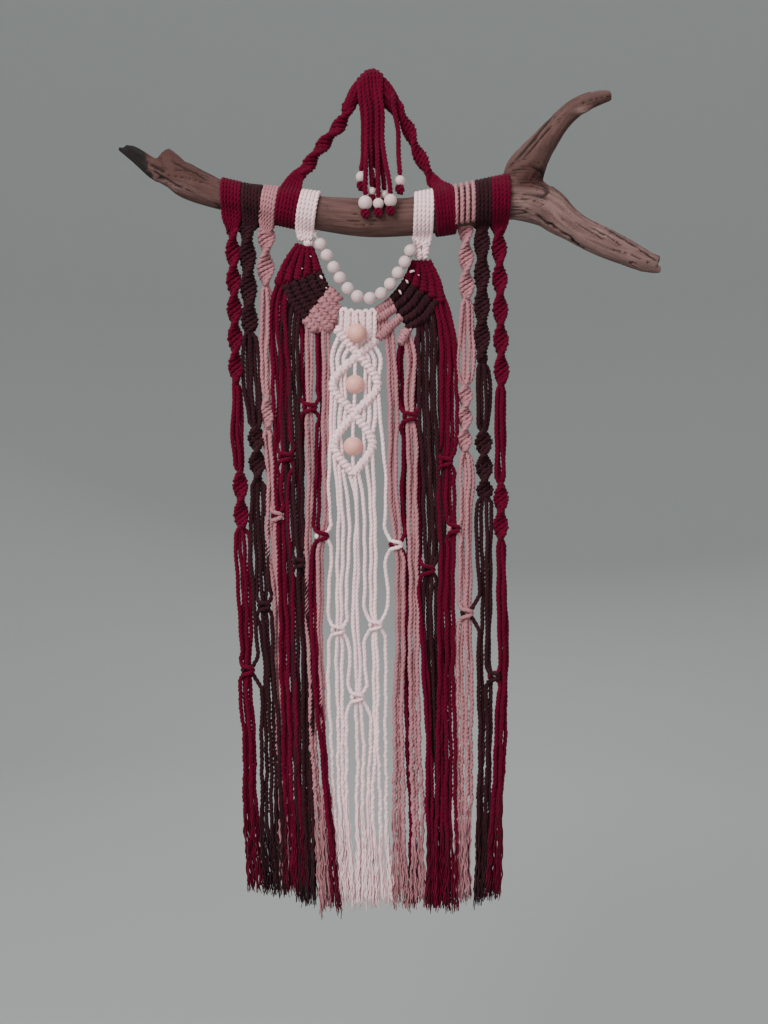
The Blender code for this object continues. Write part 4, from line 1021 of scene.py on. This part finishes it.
# Length of a bulge, first bulge, loops (x of the first and the last, how many, lean at the top),
# where the cords fan out (x, z), and the middle line of the rope
HANGERS = {
    "left": (25.5, 3, (-100.6, -82.6, 6, 7.6), (-67.5, -99), [
        (-23.4, 0, -24), (-26, 0, -33), (-30.6, 0, -42.5), (-37.6, 0, -52), (-44.1, 0, -59.6),
        (-53, 0, -70.4), (-61.3, 0, -81.3), (-68.6, 0, -93), (-74.6, -3, -103)]),
    "right": (32, -3, (69.4, 86.6, 6, -4.6), (60.5, -108), [
        (25.6, 0, -25), (31, 0, -36.6), (38.3, 0, -51.1), (44.2, 0, -67.2), (51, 0, -81.3),
        (58.6, 0, -95.6), (63.4, 0, -104), (67, -3, -111)]),
}
# The fan over the branch: degrees from straight below, and how far its cords stand off there
FAN = [(145, 1.2), (125, 1.4), (105, 1.0), (85, -0.6), (65, -2.4)]
# Middle line of the bend and how far its cords lie from it
BEND = [
    (-27.6, 0, -34.6, 3), (-21, 0, -21.6, 4.6), (-13, 0, -9, 5.6), (-6.6, 0, -1.6, 4.6), (1, 0, 1.6, 3.8),
    (8, 0, -3.4, 5.4), (14.6, 0, -13.4, 7), (21, 0, -24.4, 6.4), (26.6, 0, -33, 4), (31.6, 0, -41, 2.8)]
# Tassel cords: x over the bend, x half-way down, depth there, then x, depth, z and radius of the bead
TASSEL = [
    (-13.6, -9.2, -8.6, -11, -10, -104.8, 5.8), (-9.8, -5.6, -12.6, -6.6, -24, -135.4, 7.3),
    (-6, -1.6, -11, 0.1, -17.6, -122, 4.4), (-2.2, 1.6, -8.4, 4.4, -9, -102.1, 5),
    (1.6, 5.6, -13.4, 6.8, -24.6, -136.4, 5.6), (5.4, 10.9, -13, 19.2, -25, -133.4, 6.6),
    (9.4, 8.6, -9.4, 12.8, -17, -125.4, 4.6), (21.5, 27.6, -11.4, 29.1, -18, -111, 5.3)]
BEND_CORDS, BEND_TURN = 9, 2.2
TASSEL_CORD, IN_BEAD = 2.65, 1.4    # radius of a tassel cord, and where it runs through its bead


def tight_knot(x, z, size, deep, tilt, radius):
    """A small round knot: two cords wound one and a half times round a short line."""
    reach = Vector((math.sin(tilt), 0, -math.cos(tilt))) * size
    ends = [(x - reach.x, deep, z - reach.z), (x, deep, z), (x + reach.x, deep, z + reach.z)]
    return half_knots(ends, pitch=3.2, wide=size - radius + 0.8, flat=size - radius - 0.2, swing=30,
                      radius=radius, starts=2)


for side_name, (swing, bulge, (first, last, count, lean), (x_fan, z_fan), rope) in HANGERS.items():
    cords = half_knots(rope, pitch=4.6, wide=5.6, flat=2.2, swing=swing, radius=2.5, first=bulge)
    for x in spread(first, last, count):
        apart = x + lean - x_fan
        fan = [(x_fan + 0.12 * apart, -2, z_fan + 8), (x_fan + 0.55 * apart, -4.5, z_fan)]
        cords += [cord(round_branch(x, lean, ALL_ROUND)), cord(fan + round_branch(x, lean, FAN))]
    cord_piece(side_name + "_hanger", cords, [], "bordeaux", "hanger_%s_rope" % side_name)
bend = smooth_line(BEND, STEP)
centre = bend[:, :3]
side = np.cross(unit(np.gradient(centre, axis=0)), (0, 1, 0))
cords = []
for k in range(BEND_CORDS):
    angle = 2 * math.pi * k / BEND_CORDS + np.linspace(0, BEND_TURN, len(bend))
    cords.append((centre + bend[:, 3:] * round_line(side, angle), 2.8, LAY))
cords.append((centre, bend[:, 3], LAY))
for number, (x_top, x_middle, deep_middle, x, deep, z, radius) in enumerate(TASSEL):
    height, thick = height_and_radius(BEND, x_top)
    out = thick + 4.2
    path = [(x_top, out - 1.0, height - 5), (x_top, 0.7 * out, height + 0.6 * out),
            (x_top, -0.2 * out, height + out),
            (0.9 * x_top + 0.1 * x_middle, -0.85 * out, height + 0.4 * out),
            (0.75 * x_top + 0.25 * x_middle, -out - 0.6, height - 8),
            (x_middle, deep_middle, height - 36), (x_middle, deep_middle, -66.0),
            (x_middle + 0.3 * (x - x_middle), 0.8 * deep, -88.0),
            (x, deep, z + radius + 2.5), (x, deep, z), (x, deep, z - radius - 2)]
    line = smooth_line(path, STEP)
    cords.append((line, np.where(line[:, 2] < z + radius + 1.5, IN_BEAD, TASSEL_CORD), LAY))
    cords += tight_knot(x, z - radius - 3.6, size=4.6, deep=deep, tilt=0.4, radius=1.9)
    drilled_bead("tassel_bead_%d" % (number + 1), (x, deep, z), (0, 0, 1), radius, white_paint)
cord_piece("bend_and_tassel", cords, [], "bordeaux", "hanger_bend_tassel")


for tool in (three_plies, single_yarn):
    bpy.data.objects.remove(tool, do_unlink=True)
